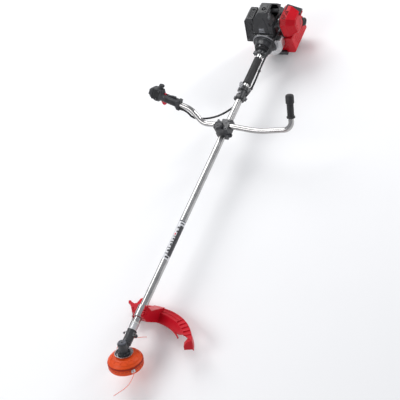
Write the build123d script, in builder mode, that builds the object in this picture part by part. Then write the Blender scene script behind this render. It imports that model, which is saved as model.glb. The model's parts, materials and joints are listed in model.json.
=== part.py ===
"""Petrol string trimmer with a handlebar, in millimetres.

+X runs along the drive tube from the trimmer head to the engine, +Y is the operator's right, +Z is up.
The origin is the middle of the engine stand's foot plate, on the ground.  The machine stands on that
plate and on the rear rim of its guard, with the tube level.
"""
from build123d import *
import os
from math import atan2, cos, degrees, pi, radians, sin, tan

os.makedirs("parts", exist_ok=True)

# ---- driving dimensions -------------------------------------------------------------------------
FOOT_STATION = 1590.0        # from the head's axis to the middle of the foot plate, along the tube
AXIS_Z = 135.0               # height of the tube's axis over the ground
TUBE_R, TUBE_BORE_R = 14.0, 12.5
TUBE_START, TUBE_END = 50.0, 1438.0
HEAD_ANGLE = 62.0            # between the tube's axis and the head's axis
SHAFT_R = 4.0
RUN_GAP = 0.05               # radial clearance of running fits
GEAR_TEETH, PINION_TEETH = 19, 14
GEAR_R = 12.5
GUARD_R = 256.0              # outside of the guard's skirt, from the head's axis
BAR_R = 11.0
BAR_STATION, BAR_RISE, BAR_LEAN = 1001.0, 34.0, 55.0
CABLE_R = 4.0
LINE_R = 1.2
BORE_R = 20.0                # engine cylinder
FAN_R = 75.0

HEAD_X = -FOOT_STATION
CROSS = (HEAD_X, 0, AXIS_Z)  # where the head's axis meets the tube's axis
HC, HS = cos(radians(HEAD_ANGLE)), sin(radians(HEAD_ANGLE))
HEAD_UP = (HC, 0, HS)
HEAD_REAR = (HS, 0, -HC)

TUBE_AXIS = Axis(CROSS, (1, 0, 0))
HEAD_AXIS = Axis(CROSS, HEAD_UP)
TUBE_SIDE = Plane(origin=CROSS, x_dir=(1, 0, 0), z_dir=(0, -1, 0))       # (station, height)
HEAD_SIDE = Plane(origin=CROSS, x_dir=HEAD_REAR, z_dir=(0, -1, 0))       # (radius, height)
HEAD_TOP = Plane(origin=CROSS, x_dir=HEAD_REAR, z_dir=HEAD_UP)           # (rearward, +Y)
GUARD_RIM = (GUARD_R * HC - AXIS_Z) / HS                                 # height that meets the ground


def across(station):
    """Plane square to the tube: local x is +Y, local y is up."""
    return Plane(origin=(HEAD_X + station, 0, AXIS_Z), x_dir=(0, 1, 0), z_dir=(1, 0, 0))


def level(height):
    """Level plane over the tube's axis: local x is the station, local y is +Y."""
    return Plane(origin=(HEAD_X, 0, AXIS_Z + height), x_dir=(1, 0, 0), z_dir=(0, 0, 1))


def outline(*points):
    """Closed straight-sided face in the sketch that is open."""
    Polygon(*points, align=None)


def save(builder, name):
    builder.part.label = name
    export_step(builder.part, f"parts/{name}.step")


# ---- drive tube, shaft and bearings -------------------------------------------------------------
with BuildPart() as drive_tube:
    with BuildSketch(across(TUBE_START)):
        Circle(TUBE_R)
        Circle(TUBE_BORE_R, mode=Mode.SUBTRACT)
    extrude(amount=TUBE_END - TUBE_START)
save(drive_tube, "drive_tube")

BUSH_STATIONS = [180.0, 430.0, 680.0, 930.0, 1180.0, 1400.0]
PINION_BEARING = (25.0, 35.0)
DRUM_BEARING = (1424.0, 1434.0)
SPINDLE_R = 5.0
LOWER_BEARING = (-13.0, -4.0)
UPPER_BEARING = (20.5, 26.5)
with BuildPart() as bearings:
    for station in BUSH_STATIONS:
        with BuildSketch(across(station)):
            Circle(TUBE_BORE_R)
            Circle(SHAFT_R + RUN_GAP, mode=Mode.SUBTRACT)
        extrude(amount=24)
    with BuildSketch(across(PINION_BEARING[0])):
        Circle(11.5)
        Circle(SHAFT_R + RUN_GAP, mode=Mode.SUBTRACT)
    extrude(amount=PINION_BEARING[1] - PINION_BEARING[0])
    for (low, high), outer in ((LOWER_BEARING, 13.5), (UPPER_BEARING, 11.0)):
        with BuildSketch(HEAD_TOP.offset(low)):
            Circle(outer)
            Circle(SPINDLE_R + RUN_GAP, mode=Mode.SUBTRACT)
        extrude(amount=high - low)
    for station in (1506.0, 1584.0):
        with BuildSketch(across(station)):
            Circle(16)
            Circle(8 + RUN_GAP, mode=Mode.SUBTRACT)
        extrude(amount=8)
save(bearings, "shaft_bearings")

with BuildPart() as drive_shaft:
    with BuildSketch(across(18)):
        Circle(SHAFT_R)
    extrude(amount=1430 - 18)
save(drive_shaft, "drive_shaft")


# ---- bevel gears --------------------------------------------------------------------------------
RATIO = GEAR_TEETH / PINION_TEETH
PINION_CONE = degrees(atan2(HS, RATIO + HC))
GEAR_CONE = HEAD_ANGLE - PINION_CONE
CONE_LENGTH = GEAR_R / sin(radians(GEAR_CONE))
TOOTH_FACE, TOOTH_ROOT, TOOTH_TIP = 7.0, 1.3, 0.9
TOOTH_FOOT, TOOTH_LAND = 0.31, 0.12      # half widths of a tooth at its root and tip, in pitches


def bevel_gear(plane, cone, teeth, bore, back, turn):
    """Bevel gear about the plane's z axis, its apex at the plane's origin."""
    half = radians(cone)
    with BuildPart() as gear:
        for length in (CONE_LENGTH - TOOTH_FACE, CONE_LENGTH):
            share = length / CONE_LENGTH
            root = length * sin(half) - TOOTH_ROOT * share
            tip = length * sin(half) + TOOTH_TIP * share
            profile = []
            for index in range(teeth):
                for shift, radius in ((-TOOTH_FOOT, root), (-TOOTH_LAND, tip), (TOOTH_LAND, tip), (TOOTH_FOOT, root)):
                    angle = radians(turn + 360 * (index + shift) / teeth)
                    profile.append((radius * cos(angle), radius * sin(angle)))
            with BuildSketch(plane.offset(length * cos(half))):
                outline(*profile)
        loft(ruled=True)
        with BuildSketch(plane.offset(CONE_LENGTH * cos(half))):
            Circle(CONE_LENGTH * sin(half) - TOOTH_ROOT - 0.2)
        extrude(amount=back)
        with BuildSketch(plane):
            Circle(bore)
        extrude(amount=CONE_LENGTH + back, mode=Mode.SUBTRACT)
    return gear


PINION_PLANE = Plane(origin=CROSS, x_dir=(0, 0, 1), z_dir=(1, 0, 0))
GEAR_PLANE = HEAD_TOP
input_pinion = bevel_gear(PINION_PLANE, PINION_CONE, PINION_TEETH, SHAFT_R, 2.0, 180 / PINION_TEETH)
save(input_pinion, "input_pinion")
output_gear = bevel_gear(GEAR_PLANE, GEAR_CONE, GEAR_TEETH, SPINDLE_R, 2.0, 0)
save(output_gear, "output_gear")

# ---- gearbox ------------------------------------------------------------------------------------
NECK_END = 80.0
CASE_R, NECK_R = 17.0, 17.5
with BuildPart() as gearbox_housing:
    with BuildSketch(HEAD_TOP.offset(-14)):
        Circle(CASE_R)
    extrude(amount=44)
    with BuildSketch(HEAD_TOP.offset(-14)):
        Circle(24)
    extrude(amount=5)
    with BuildSketch(across(4)):
        Circle(NECK_R - 3)
    extrude(amount=24)
    with BuildSketch(across(24)):
        Circle(NECK_R)
    extrude(amount=NECK_END - 24)
    with BuildSketch(level(-9)):
        with Locations((64, -20)):
            Circle(7)
        with Locations((64, -15)):
            Rectangle(14, 10)
    extrude(amount=18)
    with BuildSketch(HEAD_TOP.offset(-14)):
        Circle(13.5)
    extrude(amount=34.5, mode=Mode.SUBTRACT)
    with BuildSketch(HEAD_TOP.offset(20)):
        Circle(11)
    extrude(amount=10, mode=Mode.SUBTRACT)
    with BuildSketch(across(6)):
        Circle(11.5)
    extrude(amount=TUBE_START - 6, mode=Mode.SUBTRACT)
    with BuildSketch(across(TUBE_START)):
        Circle(TUBE_R)
    extrude(amount=NECK_END - TUBE_START, mode=Mode.SUBTRACT)
    with BuildSketch(across(NECK_END - 24)):
        with Locations((-NECK_R - 4, 0)):
            Rectangle(22, 2)
    extrude(amount=30, mode=Mode.SUBTRACT)
    with BuildSketch(level(-9)):
        with Locations((64, -21)):
            Circle(2.6)
    extrude(amount=18, mode=Mode.SUBTRACT)
save(gearbox_housing, "gearbox_housing")

with BuildPart() as gearbox_cap:
    with BuildSketch(HEAD_TOP.offset(28)):
        Circle(11)
    extrude(amount=2)
    with BuildSketch(HEAD_TOP.offset(30)):
        Circle(15)
    extrude(amount=5)
    chamfer(gearbox_cap.faces().sort_by(HEAD_AXIS)[-1].edges(), 1.5)
save(gearbox_cap, "gearbox_cap")

with BuildPart() as gearbox_plate:
    with BuildSketch(Plane(origin=(HEAD_X, NECK_R + 1.0, AXIS_Z), x_dir=(1, 0, 0), z_dir=(0, -1, 0))):
        outline((22, -5), (78, -5), (128, -1), (128, 5), (78, 3), (22, 1))
    extrude(amount=-1.6)
    with BuildSketch(Plane(origin=(HEAD_X, NECK_R + 1.0, AXIS_Z), x_dir=(1, 0, 0), z_dir=(0, -1, 0))):
        with Locations((70, -1)):
            Circle(4)
    extrude(amount=2.0)
    with BuildSketch(across(24)):
        Circle(NECK_R)
    extrude(amount=NECK_END - 24, mode=Mode.SUBTRACT)
save(gearbox_plate, "gearbox_plate")

# ---- trimmer head -------------------------------------------------------------------------------
with BuildPart() as output_spindle:
    with BuildSketch(HEAD_TOP.offset(-78)):
        Circle(SPINDLE_R)
    extrude(amount=78 + 27.5)
save(output_spindle, "output_spindle")

CUP_RIM, CUP_FLOOR = -11.0, -20.0
with BuildPart() as thrust_cup:
    with BuildSketch(HEAD_SIDE):
        outline((SPINDLE_R, CUP_FLOOR), (29, CUP_FLOOR), (35, CUP_RIM), (32.5, CUP_RIM),
                (27.5, CUP_FLOOR + 3), (10, CUP_FLOOR + 3), (10, -14.5), (SPINDLE_R, -14.5))
    revolve(axis=HEAD_AXIS)
save(thrust_cup, "thrust_cup")

SEAM = -44.0
with BuildPart() as head_cover:
    with BuildSketch(HEAD_SIDE):
        outline((SPINDLE_R, CUP_FLOOR), (30, CUP_FLOOR), (44, -22), (56, -29), (62.5, -39), (62.5, SEAM),
                (60, SEAM), (60, -40), (53, -31.5), (42, -25.5), (10, -25.5), (10, -30), (SPINDLE_R, -30))
    revolve(axis=HEAD_AXIS)
save(head_cover, "head_cover")

BOWL_R, BOWL_FLOOR = 65.5, -74.0
EYELET_H, EYELET_ANGLE = -55.0, -122.0
KNOB_R = 21.0


def eyelet_plane(turn):
    """Plane square to a line eyelet's axis, its z axis pointing out of the bowl."""
    angle = radians(EYELET_ANGLE + turn)
    outward = Vector(*HEAD_REAR) * cos(angle) + Vector(0, 1, 0) * sin(angle)
    return Plane(origin=Vector(*CROSS) + Vector(*HEAD_UP) * EYELET_H, x_dir=HEAD_UP, z_dir=outward)


with BuildPart() as head_bowl:
    with BuildSketch(HEAD_SIDE):
        outline((KNOB_R + 1.5, BOWL_FLOOR), (57, BOWL_FLOOR), (62.5, -71), (BOWL_R, -66), (BOWL_R, -50),
                (64, -47), (58, -46), (58, SEAM), (55.5, SEAM), (55.5, -48.5), (61.5, -50), (61.5, -66),
                (56, -71), (KNOB_R + 1.5, -71))
    revolve(axis=HEAD_AXIS)
    for turn in (0, 180):
        with BuildSketch(eyelet_plane(turn).offset(BOWL_R - 10)):
            Circle(5)
        extrude(amount=15, mode=Mode.SUBTRACT)
save(head_bowl, "head_bowl")

with BuildPart() as line_eyelets:
    for turn in (0, 180):
        with BuildSketch(eyelet_plane(turn).offset(60)):
            Circle(5)
            Circle(2.4, mode=Mode.SUBTRACT)
        extrude(amount=BOWL_R - 60)
        with BuildSketch(eyelet_plane(turn).offset(BOWL_R)):
            RectangleRounded(13, 15, 2)
            Circle(2.4, mode=Mode.SUBTRACT)
        extrude(amount=2)
save(line_eyelets, "line_eyelets")

with BuildPart() as line_spool:
    with BuildSketch(HEAD_SIDE):
        outline((10.5, -66), (52, -66), (52, -64), (20, -64), (20, -55), (52, -55), (52, -53), (20, -53),
                (20, -44), (52, -44), (52, -42), (10.5, -42))
    revolve(axis=HEAD_AXIS)
save(line_spool, "line_spool")

with BuildPart() as bump_knob:
    with BuildSketch(HEAD_SIDE):
        outline((SPINDLE_R + 0.5, -82), (0, -82), (0, -90), (14, -90), (KNOB_R, -84), (KNOB_R, -66.2),
                (17, -66.2), (17, -80), (SPINDLE_R + 0.5, -80))
    revolve(axis=HEAD_AXIS)
save(bump_knob, "bump_knob")


# ---- cords --------------------------------------------------------------------------------------
def corner_radii(points):
    """Arc radius at each corner: 0.45 of the shorter run over the tangent of half the turn."""
    radii = []
    for before, corner, after in zip(points, points[1:], points[2:]):
        inward, outward = corner - before, after - corner
        turn = radians(inward.get_angle(outward))
        radii.append(0.45 * min(inward.length, outward.length) / tan(turn / 2))
    return radii


def cord(points, radius, name):
    """Round cord along straight runs joined by tangent arcs."""
    radii = corner_radii(points)
    with BuildPart() as tube:
        with BuildLine() as route:
            FilletPolyline(*points, radius=radii)
        with BuildSketch(Plane(origin=points[0], z_dir=points[1] - points[0])):
            Circle(radius)
        sweep(path=route.wires()[0])
    length = route.wires()[0].length
    ratio = tube.part.volume / (pi * radius ** 2 * length)
    print(f"{name}: length {length:.0f}, volume over section x length {ratio:.4f},",
          "radii", [round(r) for r in radii])
    return tube


def head_point(rear, left, height):
    return Vector(*CROSS) + Vector(*HEAD_REAR) * rear + Vector(0, -1, 0) * left + Vector(*HEAD_UP) * height


EYE = BOWL_R + 2
EYE_REAR, EYE_LEFT = EYE * cos(radians(EYELET_ANGLE)), -EYE * sin(radians(EYELET_ANGLE))
FRONT_ROUTE = [(EYE_REAR, EYE_LEFT, -55), (-47, 67, -55), (-64, 74, -54.5), (-86, 81, -54), (-112, 86, -53),
               (-138, 84, -51.5), (-162, 78.5, -50), (-183, 72, -50)]
REAR_ROUTE = [(-EYE_REAR, -EYE_LEFT, -55), (50, -75, -55), (72, -84, -54), (98, -76, -52), (121, -58, -49),
              (139, -31, -47), (149, -2, -46)]
line_front = cord([head_point(*p) for p in FRONT_ROUTE], LINE_R, "line_front")
save(line_front, "line_front")
line_rear = cord([head_point(*p) for p in REAR_ROUTE], LINE_R, "line_rear")
save(line_rear, "line_rear")

# ---- guard --------------------------------------------------------------------------------------
GUARD_LEFT, GUARD_RIGHT = 66.0, 23.0
CLAMP_FROM, CLAMP_TO = 134.0, 180.0
GUARD_END = radians(-GUARD_LEFT)
GUARD_OUT = Vector(*HEAD_REAR) * cos(GUARD_END) + Vector(0, 1, 0) * sin(GUARD_END)
GUARD_SIDE = Plane(origin=CROSS, x_dir=GUARD_OUT, z_dir=GUARD_OUT.cross(Vector(*HEAD_UP)))
with BuildPart() as guard_shell:
    with BuildSketch(GUARD_SIDE):
        outline((GUARD_R, GUARD_RIM), (GUARD_R - 5, 24), (220, 22), (200, -6), (203, -9), (222, 18.5),
                (GUARD_R - 8, 20.5), (GUARD_R - 3, GUARD_RIM))
        with Locations((203, -8)):
            RegularPolygon(3, 8)
    revolve(axis=HEAD_AXIS, revolution_arc=GUARD_LEFT + GUARD_RIGHT)
    with BuildSketch(GUARD_SIDE):
        outline((GUARD_R, GUARD_RIM), (GUARD_R - 5, 24), (220, 22), (204, 0), (214, GUARD_RIM))
    revolve(axis=HEAD_AXIS, revolution_arc=1.0)
    with BuildSketch(HEAD_TOP.offset(GUARD_RIM)):
        outline((182, -87), (98, -243), (40, -243), (120, -60))
    extrude(amount=60, mode=Mode.SUBTRACT)
    with BuildSketch(HEAD_TOP.offset(22)):
        for angle in range(-32, -60, -6):
            with Locations((240 * cos(radians(angle)), 240 * sin(radians(angle)))):
                Rectangle(90, 3, rotation=angle - 64 + 2 * (90 - 64) + 12)
        Circle(GUARD_R - 6, mode=Mode.INTERSECT)
        Circle(222, mode=Mode.SUBTRACT)
    extrude(amount=4.5)
    with BuildSketch(Plane(origin=(HEAD_X, 20, AXIS_Z), x_dir=(1, 0, 0), z_dir=(0, -1, 0))):
        outline((CLAMP_FROM, -1), (CLAMP_TO, -1), (CLAMP_TO, -22), (236, -98), (211, -89), (178, -104),
                (171, -98), (CLAMP_FROM, -24))
    extrude(amount=46)
    with BuildSketch(Plane(origin=(HEAD_X, 16, AXIS_Z), x_dir=(1, 0, 0), z_dir=(0, -1, 0))):
        outline((CLAMP_FROM + 12, -26), (CLAMP_TO - 4, -26), (228, -90), (211, -82), (181, -96))
    extrude(amount=38, mode=Mode.SUBTRACT)
    with BuildSketch(across(CLAMP_FROM)):
        Circle(TUBE_R)
    extrude(amount=CLAMP_TO - CLAMP_FROM, mode=Mode.SUBTRACT)
save(guard_shell, "guard_shell")

BOLT_R = 2.5
with BuildPart() as guard_clamp:
    with BuildSketch(across(CLAMP_FROM)):
        with Locations((-3, 0.5)):
            Rectangle(46, 9, align=(Align.CENTER, Align.MIN))
        Circle(TUBE_R + 4.5)
        with Locations((0, -30.5)):
            Rectangle(80, 62, mode=Mode.SUBTRACT)
        Circle(TUBE_R, mode=Mode.SUBTRACT)
    extrude(amount=CLAMP_TO - CLAMP_FROM)
    for station in range(139, 180, 8):
        with BuildSketch(across(station)):
            with Locations((-3, 9.5)):
                Rectangle(44, 4, align=(Align.CENTER, Align.MIN))
            Circle(TUBE_R + 2, mode=Mode.SUBTRACT)
        extrude(amount=3)
save(guard_clamp, "guard_clamp")

CUTTER_OUT = Vector(*HEAD_REAR) * cos(radians(GUARD_RIGHT)) + Vector(0, 1, 0) * sin(radians(GUARD_RIGHT))
with BuildPart() as line_cutter:
    with BuildSketch(Plane(origin=CROSS, x_dir=CUTTER_OUT, z_dir=HEAD_UP).offset(-12)):
        with Locations((218, 1)):
            Rectangle(52, 2)
    extrude(amount=24)
save(line_cutter, "line_cutter")

# ---- handlebar ----------------------------------------------------------------------------------
BAR_C, BAR_S = cos(radians(BAR_LEAN)), sin(radians(BAR_LEAN))
BAR_CENTRE = (HEAD_X + BAR_STATION, 0, AXIS_Z + BAR_RISE)
BAR_PLANE = Plane(origin=BAR_CENTRE, x_dir=(0, 1, 0), z_dir=(BAR_S, 0, -BAR_C))   # (+Y, up and back)
BAR_ROUTE = [(-304, 130), (-308, 16), (-160, -8), (-46, 0), (90, 0), (143, 55), (242.8, 83.6)]
BAR_RADII = [38, 400, 100, 50, 60]


def bar_point(across_y, rise, depth=0.0):
    return BAR_PLANE.from_local_coords(Vector(across_y, rise, depth))


with BuildPart() as handlebar_tube:
    with BuildLine() as bar_line:
        FilletPolyline(*[bar_point(*p) for p in BAR_ROUTE], radius=BAR_RADII)
    with BuildSketch(Plane(origin=bar_line.line @ 0, z_dir=bar_line.line % 0)):
        Circle(BAR_R)
        Circle(BAR_R - 1.5, mode=Mode.SUBTRACT)
    sweep(path=bar_line.wires()[0])
save(handlebar_tube, "handlebar_tube")

GRIP_DIR = (bar_point(*BAR_ROUTE[0]) - bar_point(*BAR_ROUTE[1])).normalized()
GRIP_BASE = bar_point(*BAR_ROUTE[1]) + GRIP_DIR * 46
with BuildPart() as left_grip:
    with BuildSketch(Plane(origin=GRIP_BASE, z_dir=GRIP_DIR)):
        Circle(13.5)
    extrude(amount=60)
    with BuildSketch(Plane(origin=GRIP_BASE, z_dir=GRIP_DIR)):
        Circle(16.5)
    extrude(amount=8)
    with BuildSketch(Plane(origin=GRIP_BASE + GRIP_DIR * 57, z_dir=GRIP_DIR)):
        Circle(16.5)
    extrude(amount=37)
    fillet(left_grip.faces().sort_by(Axis(GRIP_BASE, GRIP_DIR))[-1].edges(), 5)
    with BuildSketch(Plane(origin=GRIP_BASE, z_dir=GRIP_DIR)):
        Circle(BAR_R)
    extrude(amount=(bar_point(*BAR_ROUTE[0]) - GRIP_BASE).length, mode=Mode.SUBTRACT)
save(left_grip, "left_grip")

HOLDER_FROM, HOLDER_TO = 972.0, 1044.0
HOLDER_RIGHT, HOLDER_WIDE = 22.0, 58.0
BAR_SIDE = Plane(origin=(HEAD_X, HOLDER_RIGHT, AXIS_Z), x_dir=(1, 0, 0), z_dir=(0, -1, 0))


def holder_bores():
    """Cut the tube's and the bar's seats out of the part that is open."""
    with BuildSketch(across(HOLDER_FROM)) as tube_seat:
        Circle(TUBE_R)
    extrude(tube_seat.sketch, amount=HOLDER_TO - HOLDER_FROM, mode=Mode.SUBTRACT)
    with BuildSketch(BAR_SIDE) as bar_seat:
        with Locations((BAR_STATION, BAR_RISE)):
            Circle(BAR_R + RUN_GAP)
    extrude(bar_seat.sketch, amount=HOLDER_WIDE, mode=Mode.SUBTRACT)


with BuildPart() as clamp_base:
    with BuildSketch(across(HOLDER_FROM)):
        RectangleRounded(50, 40, 8)
    extrude(amount=HOLDER_TO - HOLDER_FROM)
    with BuildSketch(BAR_SIDE):
        outline((BAR_STATION - 28, 0), (BAR_STATION + 22, 0), (BAR_STATION + 18, BAR_RISE - 0.5),
                (BAR_STATION - 28, BAR_RISE - 0.5))
    extrude(amount=HOLDER_WIDE)
    holder_bores()
save(clamp_base, "clamp_base")

CAP_RISE = 14.0
KNOB_AT = (BAR_STATION - 18, 3)
with BuildPart() as clamp_cap:
    with BuildSketch(BAR_SIDE):
        outline((BAR_STATION - 28, BAR_RISE + 0.5), (BAR_STATION + 18, BAR_RISE + 0.5),
                (BAR_STATION + 12, BAR_RISE + CAP_RISE), (BAR_STATION - 28, BAR_RISE + CAP_RISE))
    extrude(amount=HOLDER_WIDE)
    with BuildSketch(BAR_SIDE):
        with Locations((BAR_STATION, BAR_RISE)):
            Circle(BAR_R + RUN_GAP)
    extrude(amount=HOLDER_WIDE, mode=Mode.SUBTRACT)
    with BuildSketch(level(BAR_RISE)):
        with Locations(KNOB_AT):
            Circle(4)
    extrude(amount=20, mode=Mode.SUBTRACT)
save(clamp_cap, "clamp_cap")

with BuildPart() as clamp_knob:
    with BuildSketch(level(BAR_RISE + CAP_RISE + 0.3)):
        with Locations(KNOB_AT):
            RegularPolygon(21, 8)
    extrude(amount=15)
    chamfer(clamp_knob.faces().sort_by(Axis.Z)[-1].edges(), 3)
    with BuildSketch(level(BAR_RISE + 1)):
        with Locations(KNOB_AT):
            Circle(4 - RUN_GAP)
    extrude(amount=CAP_RISE)
save(clamp_knob, "clamp_knob")

# ---- right control handle -----------------------------------------------------------------------
HANDLE_DIR = (bar_point(*BAR_ROUTE[-1]) - bar_point(*BAR_ROUTE[-2])).normalized()
HANDLE_START = bar_point(*BAR_ROUTE[-2]) + HANDLE_DIR * 48
HANDLE_PLANE = Plane(origin=HANDLE_START, x_dir=HANDLE_DIR, z_dir=BAR_PLANE.z_dir)
HANDLE_HALF = 17.0
GLAND_LOW, GLAND_R, GLAND_LENGTH = -17.0, 5.5, 6.0
TRIGGER_PIVOT, LOCKOUT_PIVOT = (90, -6.5), (63, 15)
HANDLE_OUTLINE = [(0, -24), (0, 22), (12, 22), (18, 17), (84, 17), (91, 33), (113, 36), (134, 32),
                  (150, 18), (152, -4), (134, -18), (114, -23), (98, -20), (92, -13), (20, -13), (12, -24)]


def handle_half(direction):
    with BuildPart() as half:
        with BuildSketch(HANDLE_PLANE):
            outline(*HANDLE_OUTLINE)
        extrude(amount=direction * HANDLE_HALF)
        outer = half.faces().sort_by(Axis(HANDLE_START, HANDLE_PLANE.z_dir * direction))[-1]
        chamfer(outer.edges(), 6)
        with BuildSketch(Plane(origin=HANDLE_PLANE.from_local_coords((2, GLAND_LOW, 0)),
                               x_dir=HANDLE_PLANE.z_dir, z_dir=-HANDLE_DIR)):
            Circle(GLAND_R)
            with Locations((-direction * GLAND_R, 0)):
                Rectangle(2 * GLAND_R, 2 * GLAND_R, mode=Mode.SUBTRACT)
        extrude(amount=2 + GLAND_LENGTH)
        with BuildSketch(Plane(origin=HANDLE_START, x_dir=HANDLE_PLANE.z_dir, z_dir=HANDLE_DIR)):
            Circle(BAR_R)
        extrude(amount=HANDLE_BORE, mode=Mode.SUBTRACT)
        for (left, low, right, high), width in HANDLE_SLOTS:
            with BuildSketch(HANDLE_PLANE.offset(-width / 2)):
                with Locations(((left + right) / 2, (low + high) / 2)):
                    Rectangle(right - left, high - low)
            extrude(amount=width, mode=Mode.SUBTRACT)
        with BuildSketch(Plane(origin=HANDLE_PLANE.from_local_coords((102, 24, 0)),
                               x_dir=HANDLE_DIR, z_dir=HANDLE_PLANE.y_dir)):
            Circle(8 + RUN_GAP)
        extrude(amount=30, mode=Mode.SUBTRACT)
        if direction > 0:
            for at, radius, width in ((TRIGGER_PIVOT, 2, 12), (LOCKOUT_PIVOT, 1.5, 10)):
                with BuildSketch(HANDLE_PLANE.offset(-width / 2)):
                    with Locations(at):
                        Circle(radius - RUN_GAP)
                extrude(amount=width + 1)
    return half


HANDLE_BORE = 57.0
HANDLE_SLOTS = [((58, -30, 96, -1), 12), ((20, 11.5, 68, 30), 10), ((69.5, 11.5, 82, 30), 9)]
handle_rear = handle_half(1)
save(handle_rear, "handle_rear_shell")
handle_front = handle_half(-1)
save(handle_front, "handle_front_shell")

with BuildPart() as throttle_trigger:
    with BuildSketch(HANDLE_PLANE.offset(-5)):
        outline((86, -3), (94, -3), (94, -11), (88, -19), (80, -27), (71, -28), (65, -20), (67, -9), (78, -6))
        with Locations(TRIGGER_PIVOT):
            Circle(2, mode=Mode.SUBTRACT)
    extrude(amount=10)
save(throttle_trigger, "throttle_trigger")

with BuildPart() as lockout_lever:
    with BuildSketch(HANDLE_PLANE.offset(-4)):
        outline((26, 19), (30, 25), (44, 23.5), (66, 18), (66, 12.5), (60, 12.5), (44, 17))
        with Locations(LOCKOUT_PIVOT):
            Circle(1.5, mode=Mode.SUBTRACT)
    extrude(amount=8)
save(lockout_lever, "lockout_lever")

with BuildPart() as stop_switch:
    with BuildSketch(HANDLE_PLANE.offset(-4.2)):
        outline((75.5, 12.5), (81.5, 12.5), (81.5, 20), (80, 22), (77, 22), (75.5, 20))
    extrude(amount=8.4)
save(stop_switch, "stop_switch")

with BuildPart() as lock_button:
    button_plane = Plane(origin=HANDLE_PLANE.from_local_coords((102, 30, 0)),
                         x_dir=HANDLE_DIR, z_dir=HANDLE_PLANE.y_dir)
    with BuildSketch(button_plane):
        Circle(8)
    extrude(amount=12)
    with BuildSketch(button_plane.offset(12)):
        Circle(11)
    extrude(amount=10)
    chamfer(lock_button.faces().sort_by(Axis(button_plane.origin, button_plane.z_dir))[-1].edges(), 1.5)
save(lock_button, "lock_button")

# ---- throttle cable -----------------------------------------------------------------------------
GLAND = HANDLE_PLANE.from_local_coords((-GLAND_LENGTH, GLAND_LOW, 0))
GLAND_LEAD = HANDLE_PLANE.from_local_coords((-32, GLAND_LOW, 0))
CARB_GLAND = (1502, -61, 38)
CABLE_ROUTE = [(1011, 137, 50), (1021, 116, 34), (1040, 94, 14), (1070, 72, -8),
               (1106, 52, -24), (1146, 32, -33), (1184, 12, -36), (1222, -8, -31), (1260, -21, -17),
               (1300, -26, -7), (1340, -30, 3), (1380, -37, 13), (1418, -44, 21), (1452, -50, 27), (1480, -57, 34)]


def on_tube(station, y, height):
    return Vector(HEAD_X + station, y, AXIS_Z + height)


cable_points = [GLAND, GLAND_LEAD] + [on_tube(*p) for p in CABLE_ROUTE] + [on_tube(*CARB_GLAND)]
throttle_cable = cord(cable_points, CABLE_R, "throttle_cable")
save(throttle_cable, "throttle_cable")

CLIP_STATIONS = (1262.0, 1345.0)
with BuildPart() as cable_clips:
    for index in (9, 11):
        centre = cable_points[index]
        along = (cable_points[index + 1] - cable_points[index]).normalized()
        outward = Vector(0, centre.Y, centre.Z - AXIS_Z).normalized()
        middle = cable_points[index] + along * (cable_points[index + 1] - cable_points[index]).length / 2
        with BuildSketch(Plane(origin=middle - along * 4, x_dir=outward, z_dir=along)):
            Circle(CABLE_R + 2)
            Circle(CABLE_R + 0.1, mode=Mode.SUBTRACT)
        extrude(amount=8)
save(cable_clips, "cable_clips")

# ---- harness clamp and shaft grip ---------------------------------------------------------------
HARNESS_FROM, HARNESS_TO = 1160.0, 1222.0
with BuildPart() as harness_clamp:
    for start, length in ((HARNESS_FROM, 14), (HARNESS_TO - 20, 20)):
        with BuildSketch(across(start)):
            Circle(TUBE_R + 6)
            with Locations((0, 17)):
                Rectangle(18, 14)
            with Locations((-21, 0)):
                Rectangle(14, 13)
            with Locations((20, 0)):
                Rectangle(10, 13)
            Circle(TUBE_R, mode=Mode.SUBTRACT)
        extrude(amount=length)
    with BuildSketch(across(HARNESS_FROM)):
        Circle(TUBE_R + 4)
        Circle(TUBE_R, mode=Mode.SUBTRACT)
        with Locations((0, -20)):
            Rectangle(60, 40, mode=Mode.SUBTRACT)
    extrude(amount=HARNESS_TO - HARNESS_FROM)
save(harness_clamp, "harness_clamp")

EYE_AT = (HARNESS_TO - 10, 36.0)
EYE_R = 7.0
with BuildPart() as harness_eyelet:
    with BuildSketch(Plane(origin=(HEAD_X, 2, AXIS_Z), x_dir=(1, 0, 0), z_dir=(0, -1, 0))):
        with Locations(EYE_AT):
            Circle(EYE_R + 5)
        outline((EYE_AT[0] - 9, 24), (EYE_AT[0] + 9, 24), (EYE_AT[0] + 10, EYE_AT[1]), (EYE_AT[0] - 10, EYE_AT[1]))
        with Locations(EYE_AT):
            Circle(EYE_R, mode=Mode.SUBTRACT)
    extrude(amount=4)
save(harness_eyelet, "harness_eyelet")

GRIP_FROM, GRIP_TO, GRIP_OUT_R = 1242.0, 1380.0, 17.0
with BuildPart() as shaft_grip:
    with BuildSketch(across(GRIP_FROM)):
        Circle(GRIP_OUT_R)
        Circle(TUBE_R, mode=Mode.SUBTRACT)
    extrude(amount=GRIP_TO - GRIP_FROM)
    with BuildSketch(across(GRIP_FROM)):
        Circle(GRIP_OUT_R + 1.5)
        Circle(TUBE_R, mode=Mode.SUBTRACT)
    extrude(amount=6)
save(shaft_grip, "shaft_grip")

# ---- clutch -------------------------------------------------------------------------------------
with BuildPart() as clutch_housing:
    with BuildSketch(TUBE_SIDE):
        outline((1402, TUBE_R), (1402, 21), (1419, 21), (1419, 24), (1434, 24), (1434, 35), (1438, 38.5),
                (1458, 40), (1462, 45), (1470, 45), (1470, 36.5), (1439.5, 36.5), (1439.5, TUBE_R))
    revolve(axis=TUBE_AXIS)
    for side in (1, -1):
        with BuildSketch(level(-8)):
            with Locations((1410, side * 24)):
                Rectangle(13, 14)
        extrude(amount=16)
save(clutch_housing, "clutch_housing")

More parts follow.
